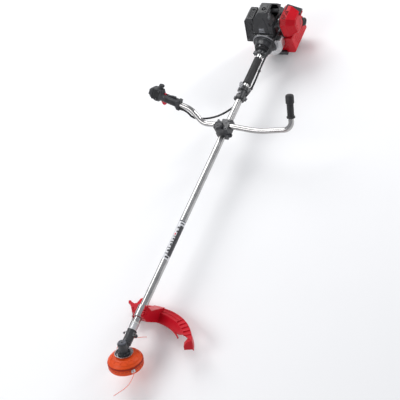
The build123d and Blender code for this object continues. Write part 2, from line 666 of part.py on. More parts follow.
with BuildPart() as vibration_damper:
    with BuildSketch(TUBE_SIDE):
        outline((1419.5, 24), (1419.5, 29), (1424, 31), (1424, 29.5), (1427, 29.5), (1427, 32.5), (1430, 32.5),
                (1430, 31), (1433.5, 31), (1433.5, 24))
    revolve(axis=TUBE_AXIS)
save(vibration_damper, "vibration_damper")

with BuildPart() as clutch_drum:
    with BuildSketch(TUBE_SIDE):
        outline((1430.5, 0), (1430.5, 8), (1442, 8), (1442, 34.5), (1467, 34.5), (1467, 32.5), (1445, 32.5),
                (1445, 0))
    revolve(axis=TUBE_AXIS)
save(clutch_drum, "clutch_drum")

with BuildPart() as clutch_shoes:
    for turn in (0, 180):
        with BuildSketch(across(1449)):
            Circle(31.5)
            Circle(8, mode=Mode.SUBTRACT)
            with Locations((0, -20 if turn else 20)):
                Rectangle(80, 44, mode=Mode.SUBTRACT)
        extrude(amount=15)
save(clutch_shoes, "clutch_shoes")

# ---- engine -------------------------------------------------------------------------------------
CYL_STATION = 1539.0
PLUG_AXIS_Z = 110.0
PLUG_STATION = 1556.0
PLUG_SIDE = Plane(origin=(HEAD_X + PLUG_STATION, -20, AXIS_Z + PLUG_AXIS_Z), x_dir=(1, 0, 0), z_dir=(0, -1, 0))
CRANK_R = 8.0
with BuildPart() as crankshaft:
    with BuildSketch(TUBE_SIDE):
        outline((1446, 0), (1446, CRANK_R), (1522, CRANK_R), (1522, 26), (1532, 26), (1532, 0))
    revolve(axis=TUBE_AXIS)
    with BuildSketch(TUBE_SIDE):
        outline((1546, 0), (1546, 26), (1556, 26), (1556, CRANK_R), (1606, CRANK_R), (1606, 0))
    revolve(axis=TUBE_AXIS)
    with BuildSketch(across(1532)):
        with Locations((0, 15)):
            Circle(6)
    extrude(amount=14)
save(crankshaft, "crankshaft")

FAN_BLADES = 12
with BuildPart() as flywheel:
    with BuildSketch(TUBE_SIDE):
        outline((1478, CRANK_R), (1478, 14), (1486, 14), (1486, 42), (1494, 42), (1494, CRANK_R))
    revolve(axis=TUBE_AXIS)
    with BuildSketch(across(1477)):
        with PolarLocations(28, FAN_BLADES):
            Rectangle(26, 2.4, rotation=20)
    extrude(amount=10)
save(flywheel, "flywheel")

with BuildPart() as crankcase:
    with BuildSketch(across(1470)):
        Circle(FAN_R)
        with Locations((-65.5, 59)):
            Rectangle(40, 80, mode=Mode.SUBTRACT)
        with Locations((63, 33)):
            Rectangle(40, 80, mode=Mode.SUBTRACT)
        with Locations((76, 0)):
            Rectangle(40, 160, mode=Mode.SUBTRACT)
        with Locations((0, 66)):
            Rectangle(160, 40, mode=Mode.SUBTRACT)
    extrude(amount=30)
    with BuildSketch(across(1463)):
        Circle(54)
        Circle(48, mode=Mode.SUBTRACT)
        with Locations((0, 66)):
            Rectangle(160, 40, mode=Mode.SUBTRACT)
    extrude(amount=7)
    with BuildSketch(across(1500)):
        RectangleRounded(76, 84, 8)
    extrude(amount=92)
    with BuildSketch(across(1470)):
        Circle(36)
    extrude(amount=4, mode=Mode.SUBTRACT)
    with BuildSketch(across(1474)):
        Circle(43)
    extrude(amount=23, mode=Mode.SUBTRACT)
    with BuildSketch(across(1497)):
        Circle(CRANK_R + 1)
    extrude(amount=95, mode=Mode.SUBTRACT)
    for station in (1506.0, 1584.0):
        with BuildSketch(across(station)):
            Circle(16)
        extrude(amount=8, mode=Mode.SUBTRACT)
    with BuildSketch(across(1517)):
        Circle(30)
    extrude(amount=44, mode=Mode.SUBTRACT)
    with BuildSketch(level(0)):
        with Locations((CYL_STATION, 0)):
            Circle(BORE_R + 1)
    extrude(amount=50, mode=Mode.SUBTRACT)
save(crankcase, "crankcase")

CYL_BASE, CYL_TOP = 42.0, 110.0
with BuildPart() as cylinder:
    with BuildSketch(level(CYL_BASE)):
        with Locations((CYL_STATION, 0)):
            Circle(25)
    extrude(amount=CYL_TOP - CYL_BASE)
    with BuildSketch(level(CYL_BASE)):
        with Locations((CYL_STATION, 0)):
            Rectangle(60, 60)
    extrude(amount=6)
    for height in range(64, 110, 8):
        with BuildSketch(level(height)):
            with Locations((CYL_STATION, 0)):
                Circle(min(34, 34 - 0.37 * (height - 82)))
        extrude(amount=2.5)
    with BuildSketch(level(64)):
        with Locations((CYL_STATION, 34)):
            Rectangle(26, 26)
    extrude(amount=22)
    with BuildSketch(level(100)):
        with Locations((PLUG_STATION - 6, -6)):
            Rectangle(32, 28)
    extrude(amount=22)
    with BuildSketch(level(CYL_BASE)):
        with Locations((CYL_STATION, 0)):
            Circle(BORE_R + RUN_GAP)
    extrude(amount=62, mode=Mode.SUBTRACT)
    with BuildSketch(PLUG_SIDE.offset(-14)):
        Circle(6)
    extrude(amount=30, mode=Mode.SUBTRACT)
save(cylinder, "cylinder")

with BuildPart() as piston:
    with BuildSketch(level(64)):
        with Locations((CYL_STATION, 0)):
            Circle(BORE_R)
            Circle(BORE_R - 3, mode=Mode.SUBTRACT)
    extrude(amount=34)
    with BuildSketch(level(94)):
        with Locations((CYL_STATION, 0)):
            Circle(BORE_R - 2)
    extrude(amount=4)
    with BuildSketch(Plane(origin=(HEAD_X + CYL_STATION, 18, AXIS_Z + 76), x_dir=(1, 0, 0), z_dir=(0, -1, 0))):
        Circle(4)
    extrude(amount=36)
save(piston, "piston")

HOOD_ACROSS = [(46, -5), (46, 60), (24, 122), (10, 135), (-60, 135), (-66, 120), (-50, 88), (-50, -5)]
HOOD_ALONG = [(1474.5, -5), (1474.5, 47), (1500, 125), (1516, 135), (1572, 135), (1593, 108), (1593, -5)]
HOOD_WALL = 2.5
with BuildPart() as engine_shroud:
    with BuildSketch(across(1470)):
        outline(*HOOD_ACROSS)
    extrude(amount=130)
    with BuildSketch(Plane(origin=(HEAD_X, 60, AXIS_Z), x_dir=(1, 0, 0), z_dir=(0, -1, 0))):
        outline(*HOOD_ALONG)
    extrude(amount=120, mode=Mode.INTERSECT)
    under = engine_shroud.faces().sort_by(Axis.Z)[0]
    offset(amount=-HOOD_WALL, openings=under, kind=Kind.INTERSECTION)
    with BuildSketch(level(-10)):
        with Locations((1534, -50)):
            Rectangle(130, 12)
    extrude(amount=30, mode=Mode.SUBTRACT)
    with BuildSketch(level(-10)):
        with Locations((1545, -50)):
            Rectangle(84, 12)
    extrude(amount=78, mode=Mode.SUBTRACT)
    with BuildSketch(across(1470)):
        with Locations((0, 10)):
            Rectangle(92, 74)
    extrude(amount=20, mode=Mode.SUBTRACT)
    with BuildSketch(level(84)):
        with Locations((1522, -62)):
            Rectangle(90, 52)
    extrude(amount=60, mode=Mode.SUBTRACT)
    with BuildSketch(level(62)):
        with Locations((CYL_STATION, 44)):
            Rectangle(28, 20)
    extrude(amount=26, mode=Mode.SUBTRACT)
    with BuildSketch(across(1590)):
        Rectangle(80, 90)
    extrude(amount=5, mode=Mode.SUBTRACT)
save(engine_shroud, "engine_shroud")

with BuildPart() as muffler:
    with BuildSketch(across(1514)):
        outline((51.5, 4), (86, 4), (84, 76), (76, 86), (51.5, 86))
    extrude(amount=62)
    chamfer(muffler.edges().filter_by(Axis.X), 3)
    with BuildSketch(level(85)):
        with Locations((CYL_STATION, 49.5)):
            Rectangle(26, 5)
    extrude(amount=-20)
save(muffler, "muffler")

GUARD_WALL = 2.5
with BuildPart() as muffler_guard:
    with BuildSketch(Plane(origin=(HEAD_X, 49, AXIS_Z), x_dir=(1, 0, 0), z_dir=(0, -1, 0))):
        outline((1478, -6), (1582, -6), (1582, 96), (1514, 96))
    extrude(amount=-44)
    with BuildSketch(across(1470)):
        outline((40, -6), (93, -6), (91, 84), (80, 96), (40, 96))
    extrude(amount=130, mode=Mode.INTERSECT)
    offset(amount=-GUARD_WALL, openings=muffler_guard.faces().sort_by(Axis.Y)[0], kind=Kind.INTERSECTION)
save(muffler_guard, "muffler_guard")

with BuildPart() as spark_plug:
    with BuildSketch(PLUG_SIDE.offset(-12)):
        Circle(6)
    extrude(amount=18)
    with BuildSketch(PLUG_SIDE.offset(6)):
        RegularPolygon(9, 6)
    extrude(amount=6)
    with BuildSketch(PLUG_SIDE.offset(12)):
        Circle(4)
    extrude(amount=22)
save(spark_plug, "spark_plug")

with BuildPart() as plug_boot:
    with BuildSketch(PLUG_SIDE.offset(12.3)):
        Circle(9)
        Circle(4, mode=Mode.SUBTRACT)
    extrude(amount=22)
    with BuildSketch(PLUG_SIDE.offset(34.3)):
        Circle(9)
    extrude(amount=8)
    fillet(plug_boot.faces().sort_by(Axis.Y)[0].edges(), 4)
save(plug_boot, "plug_boot")

# ---- carburettor and air filter -----------------------------------------------------------------
CARB_Y = -61.0
LEVER_PIVOT = (1533.0, -63.0)
with BuildPart() as carburettor:
    with BuildSketch(Plane(origin=(HEAD_X + 1533, -53, AXIS_Z + 42), x_dir=(1, 0, 0), z_dir=(0, -1, 0))):
        RectangleRounded(38, 36, 4)
        Circle(8, mode=Mode.SUBTRACT)
    extrude(amount=21)
    with BuildSketch(Plane(origin=(HEAD_X + 1539, -30, AXIS_Z + 54), x_dir=(1, 0, 0), z_dir=(0, -1, 0))):
        RectangleRounded(20, 14, 4)
    extrude(amount=24)
    with BuildSketch(across(CARB_GLAND[0])):
        with Locations((CARB_GLAND[1], CARB_GLAND[2])):
            Circle(5)
    extrude(amount=14)
    with BuildSketch(level(60)):
        with Locations(LEVER_PIVOT):
            Circle(3)
    extrude(amount=9)
save(carburettor, "carburettor")

with BuildPart() as throttle_lever:
    with BuildSketch(level(61)):
        with Locations(LEVER_PIVOT):
            Circle(6)
        outline((LEVER_PIVOT[0] - 16, LEVER_PIVOT[1] - 3), (LEVER_PIVOT[0], LEVER_PIVOT[1] - 5),
                (LEVER_PIVOT[0], LEVER_PIVOT[1] + 5), (LEVER_PIVOT[0] - 16, LEVER_PIVOT[1] + 3))
        with Locations(LEVER_PIVOT):
            Circle(3 + RUN_GAP, mode=Mode.SUBTRACT)
    extrude(amount=3)
save(throttle_lever, "throttle_lever")

FILTER_FROM, FILTER_TO = 1500.0, 1596.0
FILTER_LOW, FILTER_HIGH = -1.5, 100.0
FILTER_INNER, FILTER_OUTER = -78.5, -139.0
with BuildPart() as filter_base:
    with BuildSketch(Plane(origin=(HEAD_X + 1548, -74.2, AXIS_Z + 50), x_dir=(1, 0, 0), z_dir=(0, -1, 0))):
        RectangleRounded(94, 98, 8)
        with Locations((-15, -8)):
            Circle(8, mode=Mode.SUBTRACT)
    extrude(amount=4)
save(filter_base, "filter_base")

with BuildPart() as filter_cover:
    with BuildSketch(Plane(origin=(HEAD_X, FILTER_INNER, AXIS_Z), x_dir=(1, 0, 0), z_dir=(0, -1, 0))):
        outline((FILTER_FROM, FILTER_LOW + 14), (FILTER_FROM + 16, FILTER_LOW), (FILTER_TO - 14, FILTER_LOW),
                (FILTER_TO, FILTER_LOW + 16), (FILTER_TO, FILTER_HIGH), (FILTER_FROM + 18, FILTER_HIGH),
                (FILTER_FROM, FILTER_HIGH - 22))
    with BuildSketch(Plane(origin=(HEAD_X, FILTER_INNER - 26, AXIS_Z), x_dir=(1, 0, 0), z_dir=(0, -1, 0))):
        outline((FILTER_FROM + 2, FILTER_LOW + 16), (FILTER_FROM + 18, FILTER_LOW + 3),
                (FILTER_TO - 15, FILTER_LOW + 3), (FILTER_TO - 1, FILTER_LOW + 18),
                (FILTER_TO - 1, FILTER_HIGH - 2), (FILTER_FROM + 20, FILTER_HIGH - 2),
                (FILTER_FROM + 2, FILTER_HIGH - 24))
    with BuildSketch(Plane(origin=(HEAD_X, FILTER_OUTER, AXIS_Z), x_dir=(1, 0, 0), z_dir=(0, -1, 0))):
        outline((FILTER_FROM + 18, FILTER_LOW + 28), (FILTER_FROM + 28, FILTER_LOW + 18),
                (FILTER_TO - 26, FILTER_LOW + 18), (FILTER_TO - 16, FILTER_LOW + 28),
                (FILTER_TO - 16, FILTER_HIGH - 16), (FILTER_FROM + 30, FILTER_HIGH - 16),
                (FILTER_FROM + 18, FILTER_HIGH - 30))
    loft(ruled=True)
    offset(amount=-GUARD_WALL, openings=filter_cover.faces().sort_by(Axis.Y)[-1], kind=Kind.INTERSECTION)
    with BuildSketch(across(FILTER_TO - 22)):
        outline((FILTER_INNER, FILTER_HIGH), (FILTER_OUTER - 8, FILTER_HIGH - 28),
                (FILTER_OUTER - 6, FILTER_HIGH - 34), (FILTER_INNER, FILTER_HIGH - GUARD_WALL))
        outline((FILTER_OUTER + 4, FILTER_HIGH - 30), (FILTER_OUTER - 6, FILTER_HIGH - 30),
                (FILTER_OUTER - 6, FILTER_HIGH - 34), (FILTER_OUTER + 4, FILTER_HIGH - 34))
    extrude(amount=22)
save(filter_cover, "filter_cover")

# ---- fuel tank ----------------------------------------------------------------------------------
TANK_FROM, TANK_TO = 1503.0, 1636.0
TANK_LEFT, TANK_RIGHT = -108.0, 84.0
CAP_AT = (1620.0, -22.0)
with BuildPart() as fuel_tank:
    with BuildSketch(across(TANK_FROM)):
        outline((TANK_LEFT, -2), (TANK_LEFT + 36, -2), (TANK_LEFT + 54, -46), (TANK_RIGHT, -46),
                (TANK_RIGHT, -88), (TANK_LEFT, -88))
    extrude(amount=TANK_TO - TANK_FROM)
    fillet(fuel_tank.edges().filter_by(Axis.X).sort_by(Axis.Z)[:2], 18)
    fillet(fuel_tank.edges().filter_by(Axis.X).sort_by(Axis.Z)[-2:], 8)
    with BuildSketch(Plane(origin=(HEAD_X, TANK_LEFT + 2, AXIS_Z), x_dir=(1, 0, 0), z_dir=(0, -1, 0))):
        with Locations(CAP_AT):
            Circle(12)
    extrude(amount=10)
    with BuildSketch(Plane(origin=(HEAD_X, TANK_LEFT + 3, AXIS_Z), x_dir=(1, 0, 0), z_dir=(0, -1, 0))):
        with Locations(CAP_AT):
            Circle(9)
    extrude(amount=20, mode=Mode.SUBTRACT)
save(fuel_tank, "fuel_tank")

with BuildPart() as fuel_cap:
    with BuildSketch(Plane(origin=(HEAD_X, TANK_LEFT - 1, AXIS_Z), x_dir=(1, 0, 0), z_dir=(0, -1, 0))):
        with Locations(CAP_AT):
            Circle(17)
            Circle(12 + RUN_GAP, mode=Mode.SUBTRACT)
    extrude(amount=8)
    with BuildSketch(Plane(origin=(HEAD_X, TANK_LEFT - 9, AXIS_Z), x_dir=(1, 0, 0), z_dir=(0, -1, 0))):
        with Locations(CAP_AT):
            Circle(17)
    extrude(amount=5)
    with BuildSketch(Plane(origin=(HEAD_X, TANK_LEFT - 14, AXIS_Z), x_dir=(1, 0, 0), z_dir=(0, -1, 0))):
        with Locations(CAP_AT):
            Rectangle(28, 6)
    extrude(amount=3)
save(fuel_cap, "fuel_cap")

# ---- starter and stand --------------------------------------------------------------------------
STARTER_FROM, STARTER_TO, STARTER_R = 1594.0, 1636.0, 62.0
with BuildPart() as starter_housing:
    with BuildSketch(TUBE_SIDE):
        outline((STARTER_FROM, STARTER_R), (STARTER_TO - 8, STARTER_R), (STARTER_TO, STARTER_R - 10),
                (STARTER_TO, 0), (STARTER_TO - 3, 0), (STARTER_TO - 3, STARTER_R - 12),
                (STARTER_TO - 10, STARTER_R - 3), (STARTER_FROM, STARTER_R - 3))
    revolve(axis=TUBE_AXIS)
    with BuildSketch(across(STARTER_TO - 5)):
        with PolarLocations(36, 10):
            SlotOverall(24, 5)
    extrude(amount=10, mode=Mode.SUBTRACT)
    with BuildSketch(across(STARTER_FROM)):
        with Locations((0, -75)):
            Rectangle(240, 60)
    extrude(amount=50, mode=Mode.SUBTRACT)
    with BuildSketch(across(STARTER_FROM)):
        with Locations((0, -43.5)):
            Rectangle(90, 3)
    extrude(amount=36)
save(starter_housing, "starter_housing")

ROPE_AT = (1616.0, 20.0)
HANDLE_Y = STARTER_R - 2
with BuildPart() as starter_handle:
    with BuildSketch(Plane(origin=(HEAD_X, HANDLE_Y, AXIS_Z), x_dir=(1, 0, 0), z_dir=(0, -1, 0))):
        with Locations(ROPE_AT):
            Circle(3)
    extrude(amount=-16)
    with BuildSketch(Plane(origin=(HEAD_X + ROPE_AT[0] - 16, HANDLE_Y + 20, AXIS_Z + ROPE_AT[1]),
                           x_dir=(0, 1, 0), z_dir=(1, 0, 0))):
        SlotOverall(16, 11, rotation=90)
    extrude(amount=32)
save(starter_handle, "starter_handle")

STAND_TOP = -88.5
STAND_LOW = 6.0 - AXIS_Z
with BuildPart() as engine_stand:
    with BuildSketch(level(-AXIS_Z)):
        with Locations((FOOT_STATION, 0)):
            RectangleRounded(70, 120, 10)
    extrude(amount=6)
    with BuildSketch(level(STAND_LOW)):
        with GridLocations(50, 96, 2, 2):
            with Locations((FOOT_STATION, 0)):
                Rectangle(9, 14)
    extrude(amount=STAND_TOP - STAND_LOW - 5)
    with BuildSketch(level(STAND_TOP - 6)):
        with Locations((1560, -8)):
            RectangleRounded(136, 116, 8)
    extrude(amount=6)
    with BuildSketch(level(STAND_TOP - 6)):
        with Locations((1497, -11)):
            RectangleRounded(10, 112, 4)
    extrude(amount=18.5)
save(engine_stand, "engine_stand")
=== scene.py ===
import json
from math import cos, pi, radians, sin, sqrt

import bmesh
import bpy
from mathutils import Matrix, Vector


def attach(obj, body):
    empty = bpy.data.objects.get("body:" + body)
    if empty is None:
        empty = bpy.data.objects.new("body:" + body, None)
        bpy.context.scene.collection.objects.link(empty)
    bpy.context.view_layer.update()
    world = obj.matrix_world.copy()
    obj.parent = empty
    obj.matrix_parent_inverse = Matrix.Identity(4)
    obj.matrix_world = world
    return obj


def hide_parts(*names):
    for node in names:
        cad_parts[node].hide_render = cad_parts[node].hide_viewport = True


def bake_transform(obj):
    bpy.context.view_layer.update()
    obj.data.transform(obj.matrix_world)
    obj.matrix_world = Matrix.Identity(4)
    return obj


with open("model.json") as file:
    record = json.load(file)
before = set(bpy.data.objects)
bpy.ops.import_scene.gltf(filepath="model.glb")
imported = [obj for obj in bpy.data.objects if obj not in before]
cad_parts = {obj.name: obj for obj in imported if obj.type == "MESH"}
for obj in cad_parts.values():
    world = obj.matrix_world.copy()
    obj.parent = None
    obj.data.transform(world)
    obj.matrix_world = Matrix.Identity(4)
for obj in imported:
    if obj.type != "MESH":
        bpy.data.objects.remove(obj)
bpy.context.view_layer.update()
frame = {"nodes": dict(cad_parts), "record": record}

MM = 0.001
FOOT_STATION, AXIS_Z = 1590.0, 135.0             # mm: the origin's place along the tube, and the tube's height
HEAD_ANGLE = radians(62)                         # how far the head's axis is turned from the tube
HEAD_UP = Vector((cos(HEAD_ANGLE), 0, sin(HEAD_ANGLE)))
HEAD_REAR = Vector((sin(HEAD_ANGLE), 0, -cos(HEAD_ANGLE)))
CROSS = Vector((-FOOT_STATION, 0, AXIS_Z)) * MM
X_AXIS, Y_AXIS, Z_AXIS = Vector((1, 0, 0)), Vector((0, 1, 0)), Vector((0, 0, 1))


# ---- camera, floor and light --------------------------------------------------------------------
def link(name, data):
    made = bpy.data.objects.new(name, data)
    bpy.context.scene.collection.objects.link(made)
    return made


def aim(obj, at, toward):
    obj.matrix_world = (Vector(toward) - Vector(at)).to_track_quat("-Z", "Y").to_matrix().to_4x4()
    obj.matrix_world.translation = at


camera = link("camera", bpy.data.cameras.new("camera"))
camera.data.lens, camera.data.sensor_width = 91.9, 36                  # fitted to the photo, with its place
camera.data.clip_start, camera.data.clip_end = 0.1, 60
CAM_RIGHT = Vector((0.37718929, -0.85978088, -0.34424567))
CAM_UP = Vector((0.81900049, 0.13611709, 0.55741398))
CAM_BACK = Vector((-0.43239616, -0.49218795, 0.75550286))
camera.matrix_world = Matrix((CAM_RIGHT, CAM_UP, CAM_BACK)).transposed().to_4x4()
camera.matrix_world.translation = (-2.635, -1.976, 3.122)
bpy.context.scene.camera = camera


def area_light(name, at, toward, size, power):
    lamp = bpy.data.lights.new(name, "AREA")
    lamp.shape, lamp.size, lamp.size_y, lamp.energy = "RECTANGLE", size[0], size[1], power
    aim(link(name, lamp), at, toward)


# Position, what it points at, size in metres, power in watts.
area_light("key", (1.5, 2.3, 3.4), (-0.6, 0, 0), (3.6, 3.0), 125)
area_light("fill", (-3.2, 1.4, 2.9), (-0.6, 0, 0), (2.4, 1.8), 45)
area_light("rim", (2.3, -2.4, 1.5), (-0.2, 0, 0.1), (0.7, 1.8), 60)
world = bpy.data.worlds.new("studio")
world.use_nodes = True
world.node_tree.nodes["Background"].inputs["Color"].default_value = (0.93, 0.95, 1.0, 1)
world.node_tree.nodes["Background"].inputs["Strength"].default_value = 0.47
bpy.context.scene.world = world
bpy.context.scene.view_settings.view_transform = "Standard"


# ---- materials ----------------------------------------------------------------------------------
class Nodes:
    """Short hand for one material's node tree, with object coordinates ready."""

    def __init__(self, name):
        self.material = bpy.data.materials.new(name)
        self.material.use_nodes = True
        self.tree = self.material.node_tree
        self.shader = self.tree.nodes["Principled BSDF"]
        self.coords = self.add("ShaderNodeTexCoord").outputs["Object"]

    def add(self, kind, **settings):
        node = self.tree.nodes.new(kind)
        for key, value in settings.items():
            setattr(node, key, value)
        return node

    def join(self, source, target):
        self.tree.links.new(source, target)

    def noise(self, scale, detail=3.0, stretch=(1, 1, 1)):
        mapping = self.add("ShaderNodeMapping")
        mapping.inputs["Scale"].default_value = stretch
        self.join(self.coords, mapping.inputs["Vector"])
        noise = self.add("ShaderNodeTexNoise")
        noise.inputs["Scale"].default_value = scale
        noise.inputs["Detail"].default_value = detail
        self.join(mapping.outputs["Vector"], noise.inputs["Vector"])
        return noise.outputs["Fac"]

    def ramp(self, source, stops):
        ramp = self.add("ShaderNodeValToRGB")
        while len(ramp.color_ramp.elements) < len(stops):
            ramp.color_ramp.elements.new(0.5)
        for element, (place, colour) in zip(ramp.color_ramp.elements, stops):
            element.position, element.color = place, (*colour, 1)
        self.join(source, ramp.inputs["Fac"])
        return ramp.outputs["Color"]

    def spread(self, source, low, high, start=0.3, end=0.7):
        place = self.add("ShaderNodeMapRange")
        for name, value in (("From Min", start), ("From Max", end), ("To Min", low), ("To Max", high)):
            place.inputs[name].default_value = value
        self.join(source, place.inputs["Value"])
        return place.outputs["Result"]

    def mix(self, share, first, second):
        mix = self.add("ShaderNodeMix", data_type="RGBA")
        self.join(share, mix.inputs[0])
        self.join(first, mix.inputs[6])
        self.join(second, mix.inputs[7])
        return mix.outputs[2]

    def soft_edges(self, radius):
        """Normal rounded over sharp edges, and a mask that is 1 on those edges."""
        bevel = self.add("ShaderNodeBevel", samples=4)
        bevel.inputs["Radius"].default_value = radius
        flat = self.add("ShaderNodeNewGeometry")
        dot = self.add("ShaderNodeVectorMath", operation="DOT_PRODUCT")
        self.join(bevel.outputs["Normal"], dot.inputs[0])
        self.join(flat.outputs["Normal"], dot.inputs[1])
        return bevel.outputs["Normal"], self.spread(dot.outputs["Value"], 1.0, 0.0, 0.80, 0.985)

    def bumps(self, normal, *layers):
        """Bump layers of (height, strength, distance) on a normal."""
        for height, strength, distance in layers:
            bump = self.add("ShaderNodeBump")
            bump.inputs["Strength"].default_value = strength
            bump.inputs["Distance"].default_value = distance
            self.join(height, bump.inputs["Height"])
            self.join(normal, bump.inputs["Normal"])
            normal = bump.outputs["Normal"]
        self.join(normal, self.shader.inputs["Normal"])


def shade(colour, by):
    return tuple(min(1.0, c * by) for c in colour)


def plastic(name, colour, rough=(0.32, 0.46), grain=(1400, 0.10), edge=0.0008, wear=1.35, dust=0.25, coat=0.0,
            specular=0.5, through=0.0):
    """Moulded plastic or rubber: fine grain, worn lighter edges and a little dust."""
    n = Nodes(name)
    normal, edges = n.soft_edges(edge)
    broad, fine = n.noise(14, 5), n.noise(grain[0], 2)
    base = n.ramp(broad, [(0.32, shade(colour, 0.86)), (0.62, colour), (0.8, shade(colour, 1.08))])
    scuffs = n.spread(n.noise(90, 6), 0.0, 1.0, 0.42, 0.66)
    worn = n.add("ShaderNodeMath", operation="MULTIPLY")
    n.join(edges, worn.inputs[0])
    n.join(scuffs, worn.inputs[1])
    lighter = n.ramp(fine, [(0.0, shade(colour, wear)), (1.0, shade(tuple(c + 0.02 for c in colour), wear))])
    base = n.mix(worn.outputs[0], base, lighter)
    film = n.add("ShaderNodeMath", operation="MULTIPLY")
    n.join(n.spread(n.noise(38, 8), 0.0, 1.0, 0.5, 0.75), film.inputs[0])
    film.inputs[1].default_value = dust
    dusty = n.ramp(fine, [(0.0, tuple(0.9 * c + 0.030 for c in colour)),
                          (1.0, tuple(0.9 * c + 0.045 for c in colour))])
    n.join(n.mix(film.outputs[0], base, dusty), n.shader.inputs["Base Color"])
    n.join(n.spread(n.noise(60, 6), *rough), n.shader.inputs["Roughness"])
    n.shader.inputs["Specular IOR Level"].default_value = specular
    n.shader.inputs["Coat Weight"].default_value = coat
    n.shader.inputs["Coat Roughness"].default_value = 0.12
    n.shader.inputs["Subsurface Weight"].default_value = through
    n.shader.inputs["Subsurface Scale"].default_value = 0.01
    n.bumps(normal, (fine, grain[1], 0.0002), (broad, 0.08, 0.0006))
    return n.material


def metal(name, colour, rough=(0.16, 0.3), stretch=(1, 1, 1), grain=(500, 0.08), edge=0.0005, stain=0.8):
    """Bare metal: drawn or cast grain, smudges and brighter edges."""
    n = Nodes(name)
    normal, edges = n.soft_edges(edge)
    streak, smudge = n.noise(grain[0], 4, stretch), n.noise(22, 6)
    base = n.ramp(smudge, [(0.3, shade(colour, stain)), (0.55, colour), (0.75, shade(colour, 1.06))])
    bright = n.ramp(streak, [(0.0, shade(colour, 1.15)), (1.0, shade(colour, 1.25))])
    n.join(n.mix(edges, base, bright), n.shader.inputs["Base Color"])
    blend = n.add("ShaderNodeMath", operation="ADD")
    n.join(n.spread(streak, rough[0], rough[1]), blend.inputs[0])
    n.join(n.spread(n.noise(48, 7), 0.0, 0.10, 0.5, 0.8), blend.inputs[1])
    n.join(blend.outputs[0], n.shader.inputs["Roughness"])
    n.shader.inputs["Metallic"].default_value = 1.0
    n.bumps(normal, (streak, grain[1], 0.0002))
    return n.material


LOOK = {
    "tube_aluminium": metal("m_tube", (0.50, 0.495, 0.49), (0.17, 0.25), (1.5, 40, 40), (9, 0.012)),
    "cast_aluminium": metal("m_cast", (0.66, 0.66, 0.67), (0.34, 0.5), (1, 1, 1), (900, 0.35), 0.0012, 0.75),
    "bar_steel": metal("m_chrome", (0.46, 0.45, 0.445), (0.13, 0.2), (1, 1, 1), (160, 0.010)),
    "steel": metal("m_steel", (0.60, 0.60, 0.61), (0.24, 0.4), (1, 1, 1), (700, 0.12)),
    "head_orange": plastic("m_orange", (0.78, 0.075, 0.005), (0.34, 0.46),
                           (1500, 0.08), 0.0010, 1.12, 0.0, 0.0, 0.3),
    "guard_red": plastic("m_guard", (0.56, 0.006, 0.018), (0.30, 0.42),
                         (1100, 0.06), 0.0014, 1.15, 0.0, 0.0, 0.22),
    "tank_red": plastic("m_tank", (0.56, 0.004, 0.014), (0.26, 0.36),
                        (1200, 0.03), 0.0030, 1.12, 0.0, 0.0, 0.2),
    "trigger_red": plastic("m_trigger", (0.66, 0.02, 0.05), (0.22, 0.34),
                           (1200, 0.05), 0.0006, 1.3, 0.08, 0.2),
    "black_plastic": plastic("m_black", (0.030, 0.031, 0.035), (0.36, 0.52), (1500, 0.20), 0.0010, 2.1, 0.5),
    "black_paint": plastic("m_paint", (0.035, 0.036, 0.040), (0.28, 0.42),
                           (700, 0.18), 0.0008, 2.4, 0.4, 0.1),
    "rubber_black": plastic("m_rubber", (0.020, 0.020, 0.022), (0.55, 0.72), (900, 0.25), 0.0008, 1.9, 0.6),
    "eyelet_grey": plastic("m_grey", (0.34, 0.34, 0.36), (0.35, 0.5), (1300, 0.15), 0.0008, 1.3, 0.3),
    "line_red": plastic("m_line", (0.80, 0.23, 0.18), (0.25, 0.4),
                        (800, 0.06), 0.0003, 1.1, 0.05, 0.0, 0.5, 0.2),
    "spool_white": plastic("m_spool", (0.70, 0.70, 0.67), (0.35, 0.5), (1200, 0.12), 0.0006, 1.1, 0.2),
}
HOOD = plastic("m_hood", (0.026, 0.0265, 0.029), (0.32, 0.46), (1300, 0.14), 0.0022, 2.6, 0.2, 0.05, 0.4)
# Near black: the handle band, and painted shade in the hood's screw recesses and the filter's holes.
DARK = plastic("m_dark", (0.010, 0.010, 0.011), (0.6, 0.8), (900, 0.2), 0.0004, 1.2, 0.4)
LABEL = plastic("m_label", (0.70, 0.71, 0.73), (0.24, 0.36), (500, 0.02), 0.0002, 1.02, 0.08, 0.3)
LABEL_DARK = plastic("m_label_dark", (0.05, 0.05, 0.055), (0.24, 0.36), (500, 0.02), 0.0002, 1.1, 0.1, 0.3)
BADGE = plastic("m_badge", (0.26, 0.27, 0.30), (0.22, 0.34), (600, 0.03), 0.0005, 1.1, 0.15, 0.3)
SCREW = metal("m_screw", (0.20, 0.20, 0.21), (0.3, 0.45), (1, 1, 1), (900, 0.15))
CAP_GREY = plastic("m_cap", (0.085, 0.090, 0.110), (0.30, 0.42), (900, 0.15), 0.0008, 1.5, 0.2)
# Darker orange: painted shade for the head's grooves.
ORANGE_GROOVE_SHADE = plastic("m_orange_dark", (0.40, 0.020, 0.003), (0.4, 0.5),
                      (1500, 0.08), 0.001, 1.2, 0.0, 0.0, 0.3)
SOOT = metal("m_soot", (0.045, 0.042, 0.040), (0.5, 0.7), (1, 1, 1), (300, 0.2))
MESH = plastic("m_mesh", (0.070, 0.071, 0.076), (0.34, 0.5), (900, 0.15), 0.0006, 1.6, 0.2)
# Dark red: painted shade for the filter face's recess.
RECESS_SHADE_RED = plastic("m_deep_red", (0.24, 0.003, 0.010), (0.3, 0.42), (1200, 0.05), 0.001, 1.3, 0.05)


def floor_material():
    n = Nodes("m_floor")
    n.join(n.ramp(n.noise(0.6, 2), [(0.3, (0.90, 0.90, 0.905)), (0.7, (0.915, 0.915, 0.92))]),
           n.shader.inputs["Base Color"])
    n.join(n.spread(n.noise(9, 4), 0.6, 0.68), n.shader.inputs["Roughness"])
    return n.material


FLOOR = floor_material()

